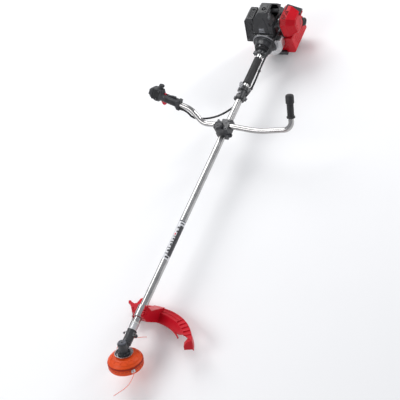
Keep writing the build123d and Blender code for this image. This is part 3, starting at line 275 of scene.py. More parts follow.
for entry in frame["record"]["materials"]:
    if entry["slot"] not in LOOK:
        raise ValueError(entry["slot"])
for name, node in frame["nodes"].items():
    for place in node.material_slots:
        place.material = LOOK.get(place.material.name.split(".")[0], LOOK["black_plastic"])
for name, material in (("engine_shroud", HOOD), ("muffler_guard", HOOD), ("gearbox_cap", CAP_GREY),
                       ("muffler", SOOT)):
    for place in frame["nodes"][name].material_slots:
        place.material = material


# ---- mesh tools ---------------------------------------------------------------------------------
class Place:
    """A local frame in the CAD frame; at() takes mm."""

    def __init__(self, origin, x, z):
        self.o, self.x, self.z = Vector(origin), Vector(x).normalized(), Vector(z).normalized()
        self.y = self.z.cross(self.x)

    def at(self, x, y, z=0.0):
        return self.o + (self.x * x + self.y * y + self.z * z) * MM

    def shift(self, x, y, z=0.0):
        return Place(self.at(x, y, z), self.x, self.z)

    def spin(self, degrees):
        turn = radians(degrees)
        return Place(self.o, self.x * cos(turn) + self.y * sin(turn), self.z)


def on_tube(station, y, height):
    """A point in metres: mm along the tube from the head, to the operator's right, above the tube's axis."""
    return Vector((station - FOOT_STATION, y, height + AXIS_Z)) * MM


def upright(station, y, height):
    """A place on the tube's scale whose z axis points up."""
    return Place(on_tube(station, y, height), X_AXIS, Z_AXIS)


def facing_left(station, y, height):
    """A place on the tube's scale whose z axis points to the operator's left."""
    return Place(on_tube(station, y, height), X_AXIS, -Y_AXIS)


def head_point(rear, left, height):
    """A point in metres, in the head's own directions."""
    return CROSS + HEAD_REAR * rear - Y_AXIS * left + HEAD_UP * height


def smooth(mesh, angle=40):
    for polygon in mesh.polygons:
        polygon.use_smooth = True
    mesh.set_sharp_from_angle(angle=radians(angle))


def piece(name, mesh, material, body, slot=None, bevel=0.0, segments=2, replaces=(), angle=40):
    """Links one mesh as a piece that rides on a body."""
    smooth(mesh, angle)
    made = link(name, mesh)
    mesh.materials.append(material)
    if bevel:
        modifier = made.modifiers.new("edges", "BEVEL")
        modifier.width, modifier.segments, modifier.limit_method = bevel * MM, segments, "ANGLE"
        modifier.angle_limit = radians(32)
        modifier.harden_normals = False
    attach(made, body)
    if replaces:
        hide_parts(*replaces)
    return made


class Shape:
    """Faces of one piece, gathered before the piece is made."""

    def __init__(self):
        self.verts, self.faces = [], []

    def add(self, verts, faces):
        base = len(self.verts)
        self.verts += list(verts)
        self.faces += [tuple(i + base for i in face) for face in faces]
        return self

    def lathe(self, place, profile, sides=48, start=0.0, sweep=360.0):
        """profile: (radius, height[, wave, lobes]) in mm, turned about the place's z axis."""
        whole = sweep >= 360
        columns = sides if whole else sides + 1
        verts = []
        for radius, height, *wave in profile:
            for k in range(columns):
                turn = radians(start + sweep * k / sides)
                r = radius + (wave[0] * cos(wave[1] * turn) if wave else 0.0)
                verts.append(place.at(r * cos(turn), r * sin(turn), height))
        rows, faces = len(profile), []
        for i in range(rows - 1):
            for k in range(sides):
                j = (k + 1) % columns
                faces.append((i * columns + k, i * columns + j, (i + 1) * columns + j, (i + 1) * columns + k))
        if not whole:
            for k in (0, columns - 1):
                cap = [i * columns + k for i in range(rows)]
                faces.append(tuple(cap if k else reversed(cap)))
        return self.add(verts, faces)

    def ring(self, place, profile, **options):
        """A lathe whose profile is closed on itself."""
        return self.lathe(place, list(profile) + [profile[0]], **options)

    def prism(self, place, outline, low, high, taper=1.0):
        count = len(outline)
        cx, cy = sum(p[0] for p in outline) / count, sum(p[1] for p in outline) / count
        top = [(cx + (x - cx) * taper, cy + (y - cy) * taper) for x, y in outline]
        verts = [place.at(x, y, low) for x, y in outline] + [place.at(x, y, high) for x, y in top]
        faces = [tuple(reversed(range(count))), tuple(range(count, 2 * count))]
        faces += [(i, (i + 1) % count, count + (i + 1) % count, count + i) for i in range(count)]
        return self.add(verts, faces)

    def block(self, place, x, y, z, sx, sy, sz, taper=1.0):
        half_x, half_y = sx / 2, sy / 2
        corners = [(x - half_x, y - half_y), (x + half_x, y - half_y),
                   (x + half_x, y + half_y), (x - half_x, y + half_y)]
        return self.prism(place, corners, z, z + sz, taper)

    def screw(self, place, radius=4.0, height=2.2, hollow=0.5):
        """Domed head with a six-lobed recess, seated on the place's plane."""
        socket = radius * hollow
        profile = [(0, height * 0.25), (socket * 0.9, height * 0.25, socket * 0.12, 6),
                   (socket, height, socket * 0.14, 6), (radius * 0.78, height),
                   (radius * 0.95, height * 0.72), (radius, height * 0.4), (radius, -0.6)]
        return self.lathe(place, profile, sides=36)

    def bolt(self, place, across=8.0, height=4.0):
        """Hexagon head with a pressed flange."""
        flange = across * 0.68
        self.lathe(place, [(0, 1.0), (flange, 0.8), (flange, -0.4)], sides=24)
        hexagon = [(across / sqrt(3) * cos(k * pi / 3), across / sqrt(3) * sin(k * pi / 3)) for k in range(6)]
        return self.prism(place, hexagon, 0.6, height, 0.93)

    def mesh(self, name):
        mesh = bpy.data.meshes.new(name)
        mesh.from_pydata([tuple(v) for v in self.verts], [], self.faces)
        work = bmesh.new()
        work.from_mesh(mesh)
        bmesh.ops.remove_doubles(work, verts=work.verts, dist=1e-6)
        bmesh.ops.dissolve_degenerate(work, dist=1e-7, edges=work.edges)
        bmesh.ops.recalc_face_normals(work, faces=work.faces)
        work.to_mesh(mesh)
        work.free()
        return mesh

    def piece(self, name, material, body, **options):
        return piece(name, self.mesh(name), material, body, **options)


# ---- cords --------------------------------------------------------------------------------------
LINE_RADIUS, CABLE_RADIUS = 0.0012, 0.004        # metres, as all of this section's points
FRONT_ROUTE = [(-0.03577, 0.05724, -0.055), (-0.047, 0.067, -0.055), (-0.064, 0.074, -0.0545),
               (-0.086, 0.081, -0.054), (-0.112, 0.086, -0.053), (-0.138, 0.084, -0.0515),
               (-0.162, 0.0785, -0.050), (-0.183, 0.072, -0.050)]
REAR_ROUTE = [(0.03577, -0.05724, -0.055), (0.050, -0.075, -0.055), (0.072, -0.084, -0.054),
              (0.098, -0.076, -0.052), (0.121, -0.058, -0.049), (0.139, -0.031, -0.047),
              (0.149, -0.002, -0.046)]


def route_curve(name, points, radius):
    """Curve of one open NURBS spline through given control points."""
    curve = bpy.data.curves.new(name, "CURVE")
    curve.dimensions, curve.resolution_u = "3D", 14
    spline = curve.splines.new("NURBS")
    spline.points.add(len(points) - 1)
    for control, at in zip(spline.points, points):
        control.co = (*at, 1.0)
    spline.order_u = 3
    spline.use_endpoint_u = True
    curve.bevel_depth, curve.bevel_resolution, curve.use_fill_caps = radius, 5, True
    return link(name, curve)


for name, route, length in (("line_front_cord", FRONT_ROUTE, 0.155), ("line_rear_cord", REAR_ROUTE, 0.164)):
    points = [head_point(*p) for p in route]
    cord = route_curve(name, points, LINE_RADIUS)
    cord.data.materials.append(LOOK["line_red"])
    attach(cord, "cutting_head")
    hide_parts(name.replace("_cord", ""))

BAR_LEAN = radians(55)
BAR_CENTRE = on_tube(1001, 0, 34)
BAR = Place(BAR_CENTRE, Y_AXIS, (sin(BAR_LEAN), 0, -cos(BAR_LEAN)))
BAR_BEND, BAR_TIP = BAR.at(143, 55), BAR.at(242.8, 83.6)
HANDLE_START = 48                                # mm from the bend to the handle
HANDLE_DIR = (BAR_TIP - BAR_BEND).normalized()
HANDLE = Place(BAR_BEND + HANDLE_DIR * HANDLE_START * MM, HANDLE_DIR, BAR.z)
CABLE_ROUTE = [(-0.579, 0.137, 0.185), (-0.569, 0.116, 0.169), (-0.550, 0.094, 0.149),
               (-0.520, 0.072, 0.127), (-0.484, 0.052, 0.111), (-0.444, 0.032, 0.102),
               (-0.406, 0.012, 0.099), (-0.368, -0.008, 0.104), (-0.330, -0.021, 0.118),
               (-0.290, -0.026, 0.128), (-0.250, -0.030, 0.138), (-0.210, -0.037, 0.148),
               (-0.172, -0.044, 0.156), (-0.138, -0.050, 0.162), (-0.110, -0.057, 0.169),
               (-0.088, -0.061, 0.173)]
cable_route = [HANDLE.at(-6, -17), HANDLE.at(-32, -17)] + [Vector(p) for p in CABLE_ROUTE]
route = route_curve("cable_route", cable_route, 0.0)
line = bpy.data.meshes.new_from_object(route)
route.data.bevel_depth = CABLE_RADIUS
cable_mesh = bpy.data.meshes.new_from_object(route)
bpy.data.objects.remove(route)
for polygon in cable_mesh.polygons:
    polygon.use_smooth = True
cable_mesh.materials.clear()
cable_mesh.materials.append(LOOK["rubber_black"])
cable = link("throttle_cable_cord", cable_mesh)
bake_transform(cable)
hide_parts("throttle_cable")

# ---- trimmer head and gearbox -------------------------------------------------------------------
HEAD = Place(CROSS, HEAD_REAR, HEAD_UP)
TUBE = Place(CROSS, Y_AXIS, X_AXIS)              # x to the operator's right, y up, z along the tube
BLACK, ORANGE, STEEL = LOOK["black_plastic"], LOOK["head_orange"], LOOK["steel"]
GUARD_RED, RUBBER, PAINT = LOOK["guard_red"], LOOK["rubber_black"], LOOK["black_paint"]

EYELET_TURN = 58                                 # degrees; the ribs leave room for the line eyelets
ribs = Shape()
for k in range(30):
    spot = HEAD.spin(12 * k + 6)
    if abs((12 * k + 6 - EYELET_TURN + 90) % 180 - 90) > 10:
        ribs.block(Place(spot.at(65.2, 0, -64.5), spot.y, spot.z), 0, 0, 0, 4.2, 1.6, 13, 0.86)
ribs.piece("bowl_ribs", ORANGE, "cutting_head", slot="head_orange", bevel=0.4)

TAB_LEAN = radians(30)
tabs = Shape()
for k in range(12):
    spot = HEAD.spin(30 * k + 15)
    base = Place(spot.at(49.5, 0, -24.6), spot.x * cos(TAB_LEAN) - HEAD_UP * sin(TAB_LEAN),
                 spot.x * sin(TAB_LEAN) + HEAD_UP * cos(TAB_LEAN))
    tabs.block(base, 0, 0, -0.5, 11, 5.5, 1.5, 0.8)
tabs.piece("cover_ribs", ORANGE, "cutting_head", slot="head_orange", bevel=0.5)

steps = Shape()
steps.ring(HEAD, [(60, -41.6), (64.2, -41.2), (64.6, -39.6), (63.6, -37.2), (60, -35.2), (58, -38)], sides=96)
steps.ring(HEAD, [(62, -49), (66.2, -49.6), (66.6, -51), (65.4, -52.6), (62, -52.6)], sides=96)
steps.ring(HEAD, [(42, -22.6), (44.5, -21.2), (46.5, -22.0), (47, -25), (42, -25)], sides=96)
steps.piece("head_steps", ORANGE, "cutting_head", slot="head_orange")
# Painted shade: the head's grooves are rings of darker orange.
groove_shade = Shape()
groove_shade.ring(HEAD, [(63.0, -47.6), (66.0, -47.2), (66.4, -44.4), (65.4, -42.0), (63, -42.0)], sides=96)
groove_shade.ring(HEAD, [(62.0, -55.0), (65.6, -55.0), (65.9, -53.2), (65.4, -52.0), (62, -52.0)], sides=96)
groove_shade.piece("head_grooves", ORANGE_GROOVE_SHADE, "cutting_head", slot="head_orange")

bump_profile = [(0, -91.5), (6, -91.5), (8, -90.4), (12, -91.2, 0.6, 8), (16, -89.4, 0.9, 8),
                (20.6, -85.5, 1.1, 8), (22, -80, 0.9, 8), (21.6, -70, 0.9, 8), (20.8, -66.3), (0, -66.3)]
Shape().lathe(HEAD, bump_profile, sides=96).piece(
    "bump_knob_lobes", ORANGE, "spool", slot="head_orange", replaces=["bump_knob"])

fittings = Shape()
fittings.bolt(HEAD.shift(0, 0, 34.8), 9, 4.5)
for turn in (45, 135, 225, 315):
    fittings.screw(HEAD.spin(turn).shift(21, 0, -9.2), 2.6, 2.2)
fittings.bolt(Place(on_tube(64, 27.4, 0), X_AXIS, Y_AXIS), 7, 4)
fittings.bolt(Place(on_tube(70, 20.2, -1), X_AXIS, Y_AXIS), 6.5, 3.5)
fittings.screw(upright(34, 0, 17.2), 4, 2.4)
fittings.piece("gearbox_fittings", SCREW, "machine", slot="steel")

bands = Shape()
for station, radius, width in ((26, 18.3, 3), (34, 18.0, 2), (42, 18.0, 2), (75, 18.6, 5)):
    bands.ring(TUBE.shift(0, 0, station), [(17.2, 0), (radius - 0.5, 0), (radius, 0.5), (radius, width - 0.5),
                                           (radius - 0.5, width), (17.2, width)], sides=56)
bands.ring(HEAD, [(16.8, 6), (17.9, 6), (17.9, 8), (16.8, 8)], sides=56)
bands.ring(HEAD, [(16.8, 22), (18.2, 22.4), (18.2, 27.6), (16.8, 28)], sides=56)
bands.piece("gearbox_bands", PAINT, "machine", slot="black_paint")

# ---- drive tube ---------------------------------------------------------------------------------
TUBE_R, LABEL_R, PRINT_R = 14.0, 14.20, 14.27    # mm
SKIN, SKIN_EDGE = 0.3, 0.12


def sleeve(name, start, end, radius, material, slot_name, start_angle=0.0, sweep=360.0):
    """A thin skin round the drive tube between two stations."""
    length = end - start
    profile = [(radius - SKIN_EDGE, 0), (radius, SKIN_EDGE), (radius, length - SKIN_EDGE),
               (radius - SKIN_EDGE, length), (radius - SKIN, length), (radius - SKIN, 0)]
    Shape().ring(TUBE.shift(0, 0, start), profile, sides=56, start=start_angle, sweep=sweep).piece(
        name, material, "machine", slot=slot_name)


def print_profile(wide):
    """Closed profile of a mark printed on the tube's label."""
    return [(TUBE_R, 0), (PRINT_R, 0), (PRINT_R, wide), (TUBE_R, wide)]


# The label: a pale panel, a dark band along it, and plain blocks where the real one has print.
sleeve("label_panel", 382, 558, LABEL_R, LABEL, "tube_aluminium", 18, 184)
sleeve("label_band", 398, 534, PRINT_R, LABEL_DARK, "black_plastic", 118, 78)
sleeve("label_end", 552, 557, PRINT_R, LABEL_DARK, "black_plastic", 60, 120)
label_blocks = Shape()
for start, wide, angle, sweep in (
        (388, 7, 96, 60), (404, 5, 74, 42), (415, 9, 84, 34), (430, 4, 66, 50), (441, 10, 88, 28),
        (456, 5, 72, 46), (468, 7, 90, 26), (481, 4, 76, 40), (503, 6, 96, 22), (519, 8, 82, 34),
        (541, 5, 100, 70)):
    label_blocks.ring(TUBE.shift(0, 0, start), print_profile(wide), sides=10, start=angle, sweep=sweep)
label_blocks.piece("label_blocks", LABEL_DARK, "machine", slot="black_plastic")
Shape().ring(TUBE.shift(0, 0, 489), print_profile(9), sides=10, start=84, sweep=22).piece(
    "label_mark", LOOK["trigger_red"], "machine", slot="trigger_red")
sleeve("tube_collar", 80, 108, 14.9, LOOK["cast_aluminium"], "cast_aluminium")
sleeve("tube_band", 108, 112, 15.0, LOOK["spool_white"], "spool_white")

# ---- guard --------------------------------------------------------------------------------------
crown = Shape()
crown.prism(HEAD, [(232, 78), (262, 82), (276, 91), (288, 97), (280, 103), (262, 101), (250, 100), (245, 108),
                   (250, 122), (258, 134), (254, 141), (244, 136), (236, 122), (226, 112), (216, 100)],
            13, 21, 0.985)
crown.prism(HEAD, [(204, 88), (234, 101), (238, 118), (228, 114), (206, 96)], -8, 14)
crown.piece("guard_crown", GUARD_RED, "machine", slot="guard_red", bevel=1.5, segments=3)
saddle_profile = [(18.0, 0), (19.0, 0.6), (19.0, 47), (18.0, 47.6)]
Shape().ring(TUBE.shift(0, 0, 133.2), saddle_profile, sides=48, start=32, sweep=118).piece(
    "guard_saddle", LOOK["tube_aluminium"], "machine", slot="tube_aluminium")
WEDGE_PITCH = 11
wedges = Shape()
for k in range(4):
    wedges.prism(upright(138 + WEDGE_PITCH * k, -17.5, 9.4), [(0, 0), (WEDGE_PITCH, 0), (WEDGE_PITCH / 2, -9)],
                 0, 6.5, 0.8)
wedges.piece("guard_wedges", GUARD_RED, "machine", slot="guard_red", bevel=0.6)
END_TURN = radians(-64)
END_OUT = HEAD_REAR * cos(END_TURN) + Y_AXIS * sin(END_TURN)
GUARD_END = Place(CROSS, END_OUT, END_OUT.cross(HEAD_UP))       # x is the radius, y is the height
end_wall = Shape()
end_wall.prism(GUARD_END, [(236, 18), (220, 0), (220, -16.5), (252, -16.5), (255.5, -4), (252.5, 22.5)],
               -22, 3)
end_wall.piece("guard_end_wall", GUARD_RED, "machine", slot="guard_red", bevel=1.5, segments=3)
lip_profile = [(200.2, -10.4), (202.4, -11.6), (205.2, -10.2), (205.6, -7), (203.4, -5.2), (200.6, -6.6)]
Shape().ring(HEAD, lip_profile, sides=84, start=-46, sweep=62).piece(
    "guard_lip", GUARD_RED, "machine", slot="guard_red")
beads = Shape()
for radius, height in ((232, 23.6), (245, 24.0)):
    beads.ring(HEAD, [(radius - 1.2, height - 0.6), (radius - 0.6, height + 0.9), (radius + 0.6, height + 0.9),
                      (radius + 1.2, height - 0.6)], sides=70, start=-30, sweep=48)
beads.piece("guard_beads", GUARD_RED, "machine", slot="guard_red")
teeth = Shape()
CUTTER = HEAD.spin(23)
for k in range(6):
    teeth.prism(Place(CUTTER.at(200 + 7.5 * k, 1, -12), CUTTER.x, -CUTTER.z),
                [(-3, -0.8), (3, -0.8), (3, 0.8), (-3, 0.8)], 0, 3.5, 0.25)
teeth.piece("cutter_teeth", STEEL, "machine", slot="steel")


# ---- handlebar, clamp and left grip -------------------------------------------------------------
def ribbed(radius, depth, start, end, pitch):
    """Lathe profile of rounded rings between two heights."""
    rings, height = [], start
    while height + pitch <= end + 1e-6:
        rings += [(radius - depth, height), (radius, height + pitch * 0.28), (radius, height + pitch * 0.62),
                  (radius - depth, height + pitch * 0.9)]
        height += pitch
    return rings


GRIP_DIR = (BAR.at(-304, 130) - BAR.at(-308, 16)).normalized()
GRIP = Place(BAR.at(-308, 16) + GRIP_DIR * 46 * MM, BAR.z.cross(GRIP_DIR), GRIP_DIR)
grip_profile = [(11.2, 0), (15.6, 0), (16.5, 0.9), (16.5, 6.6), (15.4, 8)]
grip_profile += ribbed(13.6, 0.7, 9, 55, 4.6) + [(13.4, 56.5), (16.0, 58.5), (16.5, 61)]
grip_profile += [(16.5, 84), (15.9, 88.4), (14.2, 91.4), (11, 93.2), (0, 93.8)]
Shape().lathe(GRIP, grip_profile, sides=56).piece(
    "left_grip_rubber", RUBBER, "handlebar", slot="rubber_black", replaces=["left_grip"])

KNOB = upright(983, 3, 48.3)
Shape().lathe(KNOB, [(0, -13.3), (3.9, -13.3), (3.9, 0), (17, 0), (18.6, 1.4, 1.6, 8), (19.4, 5, 1.9, 8),
                     (19.2, 11, 1.9, 8), (17.4, 14, 1.5, 8), (13.5, 15), (12.6, 13.6), (6.4, 13.6), (5.8, 14.6),
                     (4, 15), (0, 15)], sides=128).piece(
    "clamp_knob_star", BLACK, "clamp_knob", slot="black_plastic", replaces=["clamp_knob"])

clamp_bits = Shape()
for station, side in ((1008, -20), (980, -26), (1008, 14)):
    clamp_bits.screw(upright(station, side, 47.6), 4.2, 3)
for side in (-24.8, 24.8):
    outward = Y_AXIS * (1 if side > 0 else -1)
    for station in (982, 1034):
        clamp_bits.bolt(Place(on_tube(station, side, -6), X_AXIS, outward), 8, 4.5)
for station in (1178, 1208):
    clamp_bits.bolt(upright(station, 0, 23.8), 8, 4.5)
for station in (1167, 1212):
    clamp_bits.bolt(facing_left(station, -27.8, 0), 8, 4.5)
clamp_bits.piece("clamp_bolts", SCREW, "machine", slot="steel")

clamp_ribs = Shape()
for station in (978, 990, 1002, 1014, 1026, 1038):
    clamp_ribs.ring(TUBE.shift(0, 0, station), [(18, 0), (26.6, 0), (26.6, 3), (18, 3)],
                    sides=20, start=200, sweep=140)
for side in (-34, -27, 17, 21):
    clamp_ribs.block(upright(1015, side, 40), 0, 0, 0, 9, 3, 9, 0.9)
for start in (1161.5, 1203.5, 1212.5):
    clamp_ribs.ring(TUBE.shift(0, 0, start), [(19.5, 0), (21.2, 0), (21.2, 3), (19.5, 3)], sides=40)
clamp_ribs.piece("clamp_ribs", BLACK, "machine", slot="black_plastic", bevel=0.5)

wings = Shape()
for side, tip in ((-36, -50), (-30, -44)):
    wing = [(6, side + 8), (-2, side - 2), (2, tip + 4), (14, tip + 6), (22, side + 4)]
    wings.prism(upright(968, 0, 4), wing, 0, 7 if side < -32 else 14, 0.8)
wings.piece("clamp_wings", BLACK, "machine", slot="black_plastic", bevel=1.0)

# ---- control handle -----------------------------------------------------------------------------
FRONT = Place(HANDLE.at(0, 0, -17), HANDLE.x, -HANDLE.z)      # on the front shell's flat face, y downwards
pads = Shape()
for k in range(9):
    pads.block(FRONT, 21 + 5.4 * k, -2, -0.6, 2.6, 15, 1.6, 0.8)
pads.piece("handle_grip_ribs", RUBBER, "handlebar", slot="rubber_black", bevel=0.3)
screws = Shape()
for x, y in ((14, 11), (76, -9), (104, -24), (138, 8), (110, 12)):
    screws.screw(FRONT.shift(x, y, -0.4), 3.0, 1.4)
    screws.screw(Place(HANDLE.at(0, 0, 17), HANDLE.x, HANDLE.z).shift(x, -y, -0.4), 3.0, 1.4)
screws.piece("handle_screws", SCREW, "handlebar", slot="steel")
seam = Shape()
HANDLE_OUTLINE = [(84, 17), (91, 33), (113, 36), (134, 32), (150, 18), (152, -4), (134, -18), (114, -23),
                  (98, -20)]
for (x0, y0), (x1, y1) in zip(HANDLE_OUTLINE, HANDLE_OUTLINE[1:]):
    run = Vector((x1 - x0, y1 - y0))
    middle = HANDLE.at((x0 + x1) / 2, (y0 + y1) / 2)
    along = (HANDLE.x * run.x + HANDLE.y * run.y).normalized()
    seam.block(Place(middle, along, HANDLE.z), 0, 0, -1.1, run.length, 1.2, 2.2)
seam.piece("handle_seam", RUBBER, "handlebar", slot="rubber_black", bevel=0.3)
band = Shape()
band.prism(FRONT, [(125, -30), (131, -29), (134, 15), (128, 17)], -0.6, 0.8)
band.prism(FRONT, [(95, -28), (123, -28), (126, 14), (104, 17)], -0.5, 0.7, 0.95)
band.piece("handle_band", DARK, "handlebar", slot="black_plastic", bevel=0.5)
lock_profile = [(0, -0.2), (7.9, -0.2), (7.9, 12), (9.6, 12.2), (10.9, 13.6, 0.4, 18), (11, 19.5, 0.4, 18),
                (9.6, 21.6), (6.6, 22), (5.8, 21.2), (0, 21.2)]
Shape().lathe(Place(HANDLE.at(102, 30), HANDLE.x, HANDLE.y), lock_profile, sides=108).piece(
    "lock_button_cap", BLACK, "lock", slot="black_plastic", replaces=["lock_button"])
boot_profile = [(4.1, 0), (5.4, 0), (5.4, 3), (4.9, 3.6), (5.2, 4.4), (4.7, 6), (4.9, 7), (4.4, 9), (4.1, 9)]
Shape().lathe(Place(HANDLE.at(-5.8, -17), HANDLE.z, -HANDLE.x), boot_profile, sides=36).piece(
    "cable_boot", RUBBER, "handlebar", slot="rubber_black")

# ---- shaft grip ---------------------------------------------------------------------------------
sleeve_profile = [(14.1, 0), (17.8, 0), (18.5, 0.8), (18.5, 5.2), (17.4, 6), (16.4, 6.6)]
sleeve_profile += ribbed(17.0, 0.8, 8, 132, 6.2)
sleeve_profile += [(16.6, 133.5), (17, 134.5), (17, 137), (16.2, 138), (14.1, 138)]
Shape().ring(TUBE.shift(0, 0, 1242), sleeve_profile, sides=56).piece(
    "shaft_grip_rubber", RUBBER, "machine", slot="rubber_black", replaces=["shaft_grip"])

# ---- clutch housing and collar ------------------------------------------------------------------
gusset_outline = [(23.5, -1434), (29, -1434), (38.6, -1440), (40.2, -1458), (44.4, -1462), (36, -1462),
                  (33, -1436)]                    # radius, and minus the station
gussets = Shape()
for k in range(10):
    spot = TUBE.spin(36 * k + 18)
    gussets.prism(Place(TUBE.o, spot.x, TUBE.z.cross(spot.x)), gusset_outline, -1.3, 1.3)
gussets.piece("clutch_ribs", PAINT, "machine", slot="black_paint", bevel=0.3)
clutch_bolts = Shape()
for k in range(4):
    spot = TUBE.spin(90 * k + 36)
    clutch_bolts.screw(Place(spot.at(41.6, 0, 1461.4), spot.x, -X_AXIS), 3.0, 2.2)
for side in (-1, 1):
    clutch_bolts.bolt(Place(on_tube(1410, side * 30.6, -1), X_AXIS, Y_AXIS * side), 8, 4)
clutch_bolts.bolt(upright(1426, 0, 31.0), 7, 3.6)
clutch_bolts.piece("clutch_bolts", SCREW, "machine", slot="steel")
face_profile = [(45.3, 1464), (51.2, 1464), (51.2, 1461.8), (45.3, 1463)]
Shape().ring(TUBE, face_profile, sides=72, start=-46, sweep=272).piece(
    "collar_face", PAINT, "machine", slot="black_paint")
rim_profile = [(51.2, 1464), (54.4, 1464), (54.4, 1461.6), (53.4, 1460.6), (51.8, 1460.8), (51.2, 1461.8)]
Shape().ring(TUBE, rim_profile, sides=72, start=-30, sweep=242).piece(
    "collar_rim", LOOK["eyelet_grey"], "machine", slot="eyelet_grey")

# ---- hood ---------------------------------------------------------------------------------------
slope = Vector((25.5, 0, 78)).normalized()
# x runs to the operator's left.
HOOD_FRONT = Place(on_tube(1474.5, 46, 47), -Y_AXIS, Vector((-slope.z, 0, slope.x)))
HOOD_TOP_HEIGHT = 135
HOOD_TOP = upright(0, 0, HOOD_TOP_HEIGHT)
trim = Shape()
trim.prism(HOOD_FRONT, [(5, 2), (76, 2), (72, 44), (61, 78), (16, 78), (9, 40)], -1.0, 1.1, 0.97)
trim.piece("hood_front_panel", HOOD, "machine", slot="black_plastic", bevel=0.8)
Shape().prism(HOOD_FRONT, [(30, 6), (62, 6), (60, 33), (32, 33)], 0.6, 1.9, 0.95).piece(
    "hood_badge", LABEL_DARK, "machine", slot="black_plastic", bevel=0.5)
marks = Shape()
for x, y, wide, tall in ((40, 24, 14, 8), (52, 24, 6, 8), (40, 13, 16, 4), (52, 12, 10, 3)):
    marks.block(HOOD_FRONT, x, y, 1.7, wide, tall, 0.5, 0.95)
marks.piece("hood_badge_blocks", BADGE, "machine", slot="black_plastic", bevel=0.15)
top_trim = Shape()
top_trim.prism(HOOD_TOP, [(1518, 6), (1568, 6), (1568, -14), (1560, -22), (1524, -24), (1518, -18)],
               -0.6, 1.2, 0.94)
top_trim.prism(HOOD_TOP, [(1512, -26), (1570, -26), (1570, -33), (1514, -33)], -0.8, 3.2, 0.9)
top_trim.piece("hood_top_ridges", HOOD, "machine", slot="black_plastic", bevel=0.8)
SKIRT_R = 56                                     # the skirt's corner plates are cut out round the collar
SKIRT = Place(on_tube(1470, 0, 0), Y_AXIS, -X_AXIS)              # x to the operator's right, y downwards
left_arc = [(-SKIRT_R * cos(radians(a)), -SKIRT_R * sin(radians(a))) for a in range(36, 62, 5)]
right_arc = [(SKIRT_R * cos(radians(a)), -SKIRT_R * sin(radians(a))) for a in range(61, 26, -5)]
skirt = Shape()
skirt.prism(SKIRT, [(-46, -50), (-46, -12)] + left_arc + [(-24, -50)], 0, 3)
skirt.prism(SKIRT, [(50, -50), (24, -50)] + right_arc + [(50, -12)], 0, 3)
skirt.piece("hood_skirt", HOOD, "machine", slot="black_plastic")
# Painted shade: dark discs with a raised rim under the hood's screws stand for their shaded recesses.
recess_shade = Shape()
recess_shade.lathe(HOOD_TOP.shift(1537.5, -9, 0.9), [(0, 0.3), (7.2, 0.3), (8.4, 1.2), (9.4, 1.0), (9.8, 0)],
             sides=40)
recess_shade.lathe(facing_left(1480, -56, 33), [(0, 0.2), (3.4, 0.2), (4.6, 0.9), (5.4, 0)], sides=40)
recess_shade.piece("hood_screw_recess", DARK, "machine", slot="black_plastic")
hood_screws = Shape()
hood_screws.screw(HOOD_TOP.shift(1537.5, -9, 0.6), 3.2, 1.2)
hood_screws.screw(HOOD_FRONT.shift(8, 8, 0), 3.4, 1.6)
hood_screws.screw(HOOD_FRONT.shift(84, 10, 0), 3.4, 1.6)
hood_screws.piece("hood_screws", SCREW, "machine", slot="steel")
louvres = Shape()
for k in range(6):
    louvres.block(Place(on_tube(1502 + 13 * k, 24, 124), Y_AXIS, Vector((0, 62, 22)).normalized()),
                  0, 0, -1.2, 3, 7, 2.6, 0.7)
rear_face = Place(on_tube(1593, 0, 0), -Y_AXIS, X_AXIS)
for k in range(7):
    louvres.block(rear_face, 0, 52 + 8 * k, -1.5, 56 - 4 * abs(k - 3), 3, 2.6, 0.8)
louvres.piece("hood_louvres", HOOD, "machine", slot="black_plastic", bevel=0.5)

# ---- muffler cover ------------------------------------------------------------------------------
lean = Vector((36, 0, 102)).normalized()
COVER_FRONT = Place(on_tube(1478, 93, -6), -Y_AXIS, Vector((-lean.z, 0, lean.x)))
COVER_TOP = upright(1514, 49, 96)
COVER_SIDE = Place(on_tube(1478, 93, -6), -X_AXIS, Vector((0, 1, 0.022)))


def honeycomb(shape, place, x0, y0, x1, y1, pitch, hole, low, high):
    """Cells of a hexagon mesh with open middles over a rectangle of a place's plane."""
    row_step, outer = pitch * sqrt(3) / 2, pitch / sqrt(3)
    rows = int((y1 - y0) / row_step) + 1
    for row in range(rows):
        y = y0 + row * row_step
        x = x0 + (pitch / 2 if row % 2 else 0)
        while x <= x1 + 1e-6:
            verts = []
            for radius, height in ((outer, high), (hole, high), (hole, low), (outer, low)):
                for k in range(6):
                    turn = radians(60 * k + 30)
                    verts.append(place.at(x + radius * cos(turn), y + radius * sin(turn), height))
            faces = [(ring * 6 + k, ring * 6 + (k + 1) % 6,
                      ((ring + 1) % 4) * 6 + (k + 1) % 6, ((ring + 1) % 4) * 6 + k)
                     for ring in range(4) for k in range(6)]
            shape.add(verts, faces)
            x += pitch


WALL = 2.5
cover = Shape()
cover.prism(COVER_FRONT, [(0.2, 0), (5, 0), (5, 99), (2.2, 95.5)], -WALL, 0)
cover.prism(COVER_FRONT, [(38, 0), (44, 0), (44, 108.2), (38, 108.2)], -WALL, 0)
cover.prism(COVER_FRONT, [(5, 0), (38, 0), (38, 5), (5, 5)], -WALL, 0)
cover.prism(COVER_FRONT, [(2, 90), (38, 90), (38, 108.2), (13, 108.2), (2, 95.5)], -WALL, 0)
cover.prism(COVER_TOP, [(0, 0), (68, 0), (68, 5), (0, 5)], -WALL, 0)
cover.prism(COVER_TOP, [(0, 26), (68, 26), (68, 31), (0, 31)], -WALL, 0)
cover.prism(COVER_TOP, [(0, 5), (8, 5), (8, 26), (0, 26)], -WALL, 0)
cover.prism(COVER_TOP, [(58, 5), (68, 5), (68, 26), (58, 26)], -WALL, 0)
edge = Place(on_tube(1514, 80, 96), X_AXIS, Vector((0, 12, 11)))
cover.prism(edge, [(-3, 0), (68, 0), (68, 16.3), (-4.2, 16.3)], -WALL, 0)
cover.prism(COVER_SIDE, [(0, 0), (-104, 0), (-104, 90), (-31.8, 90)], -WALL, 0)
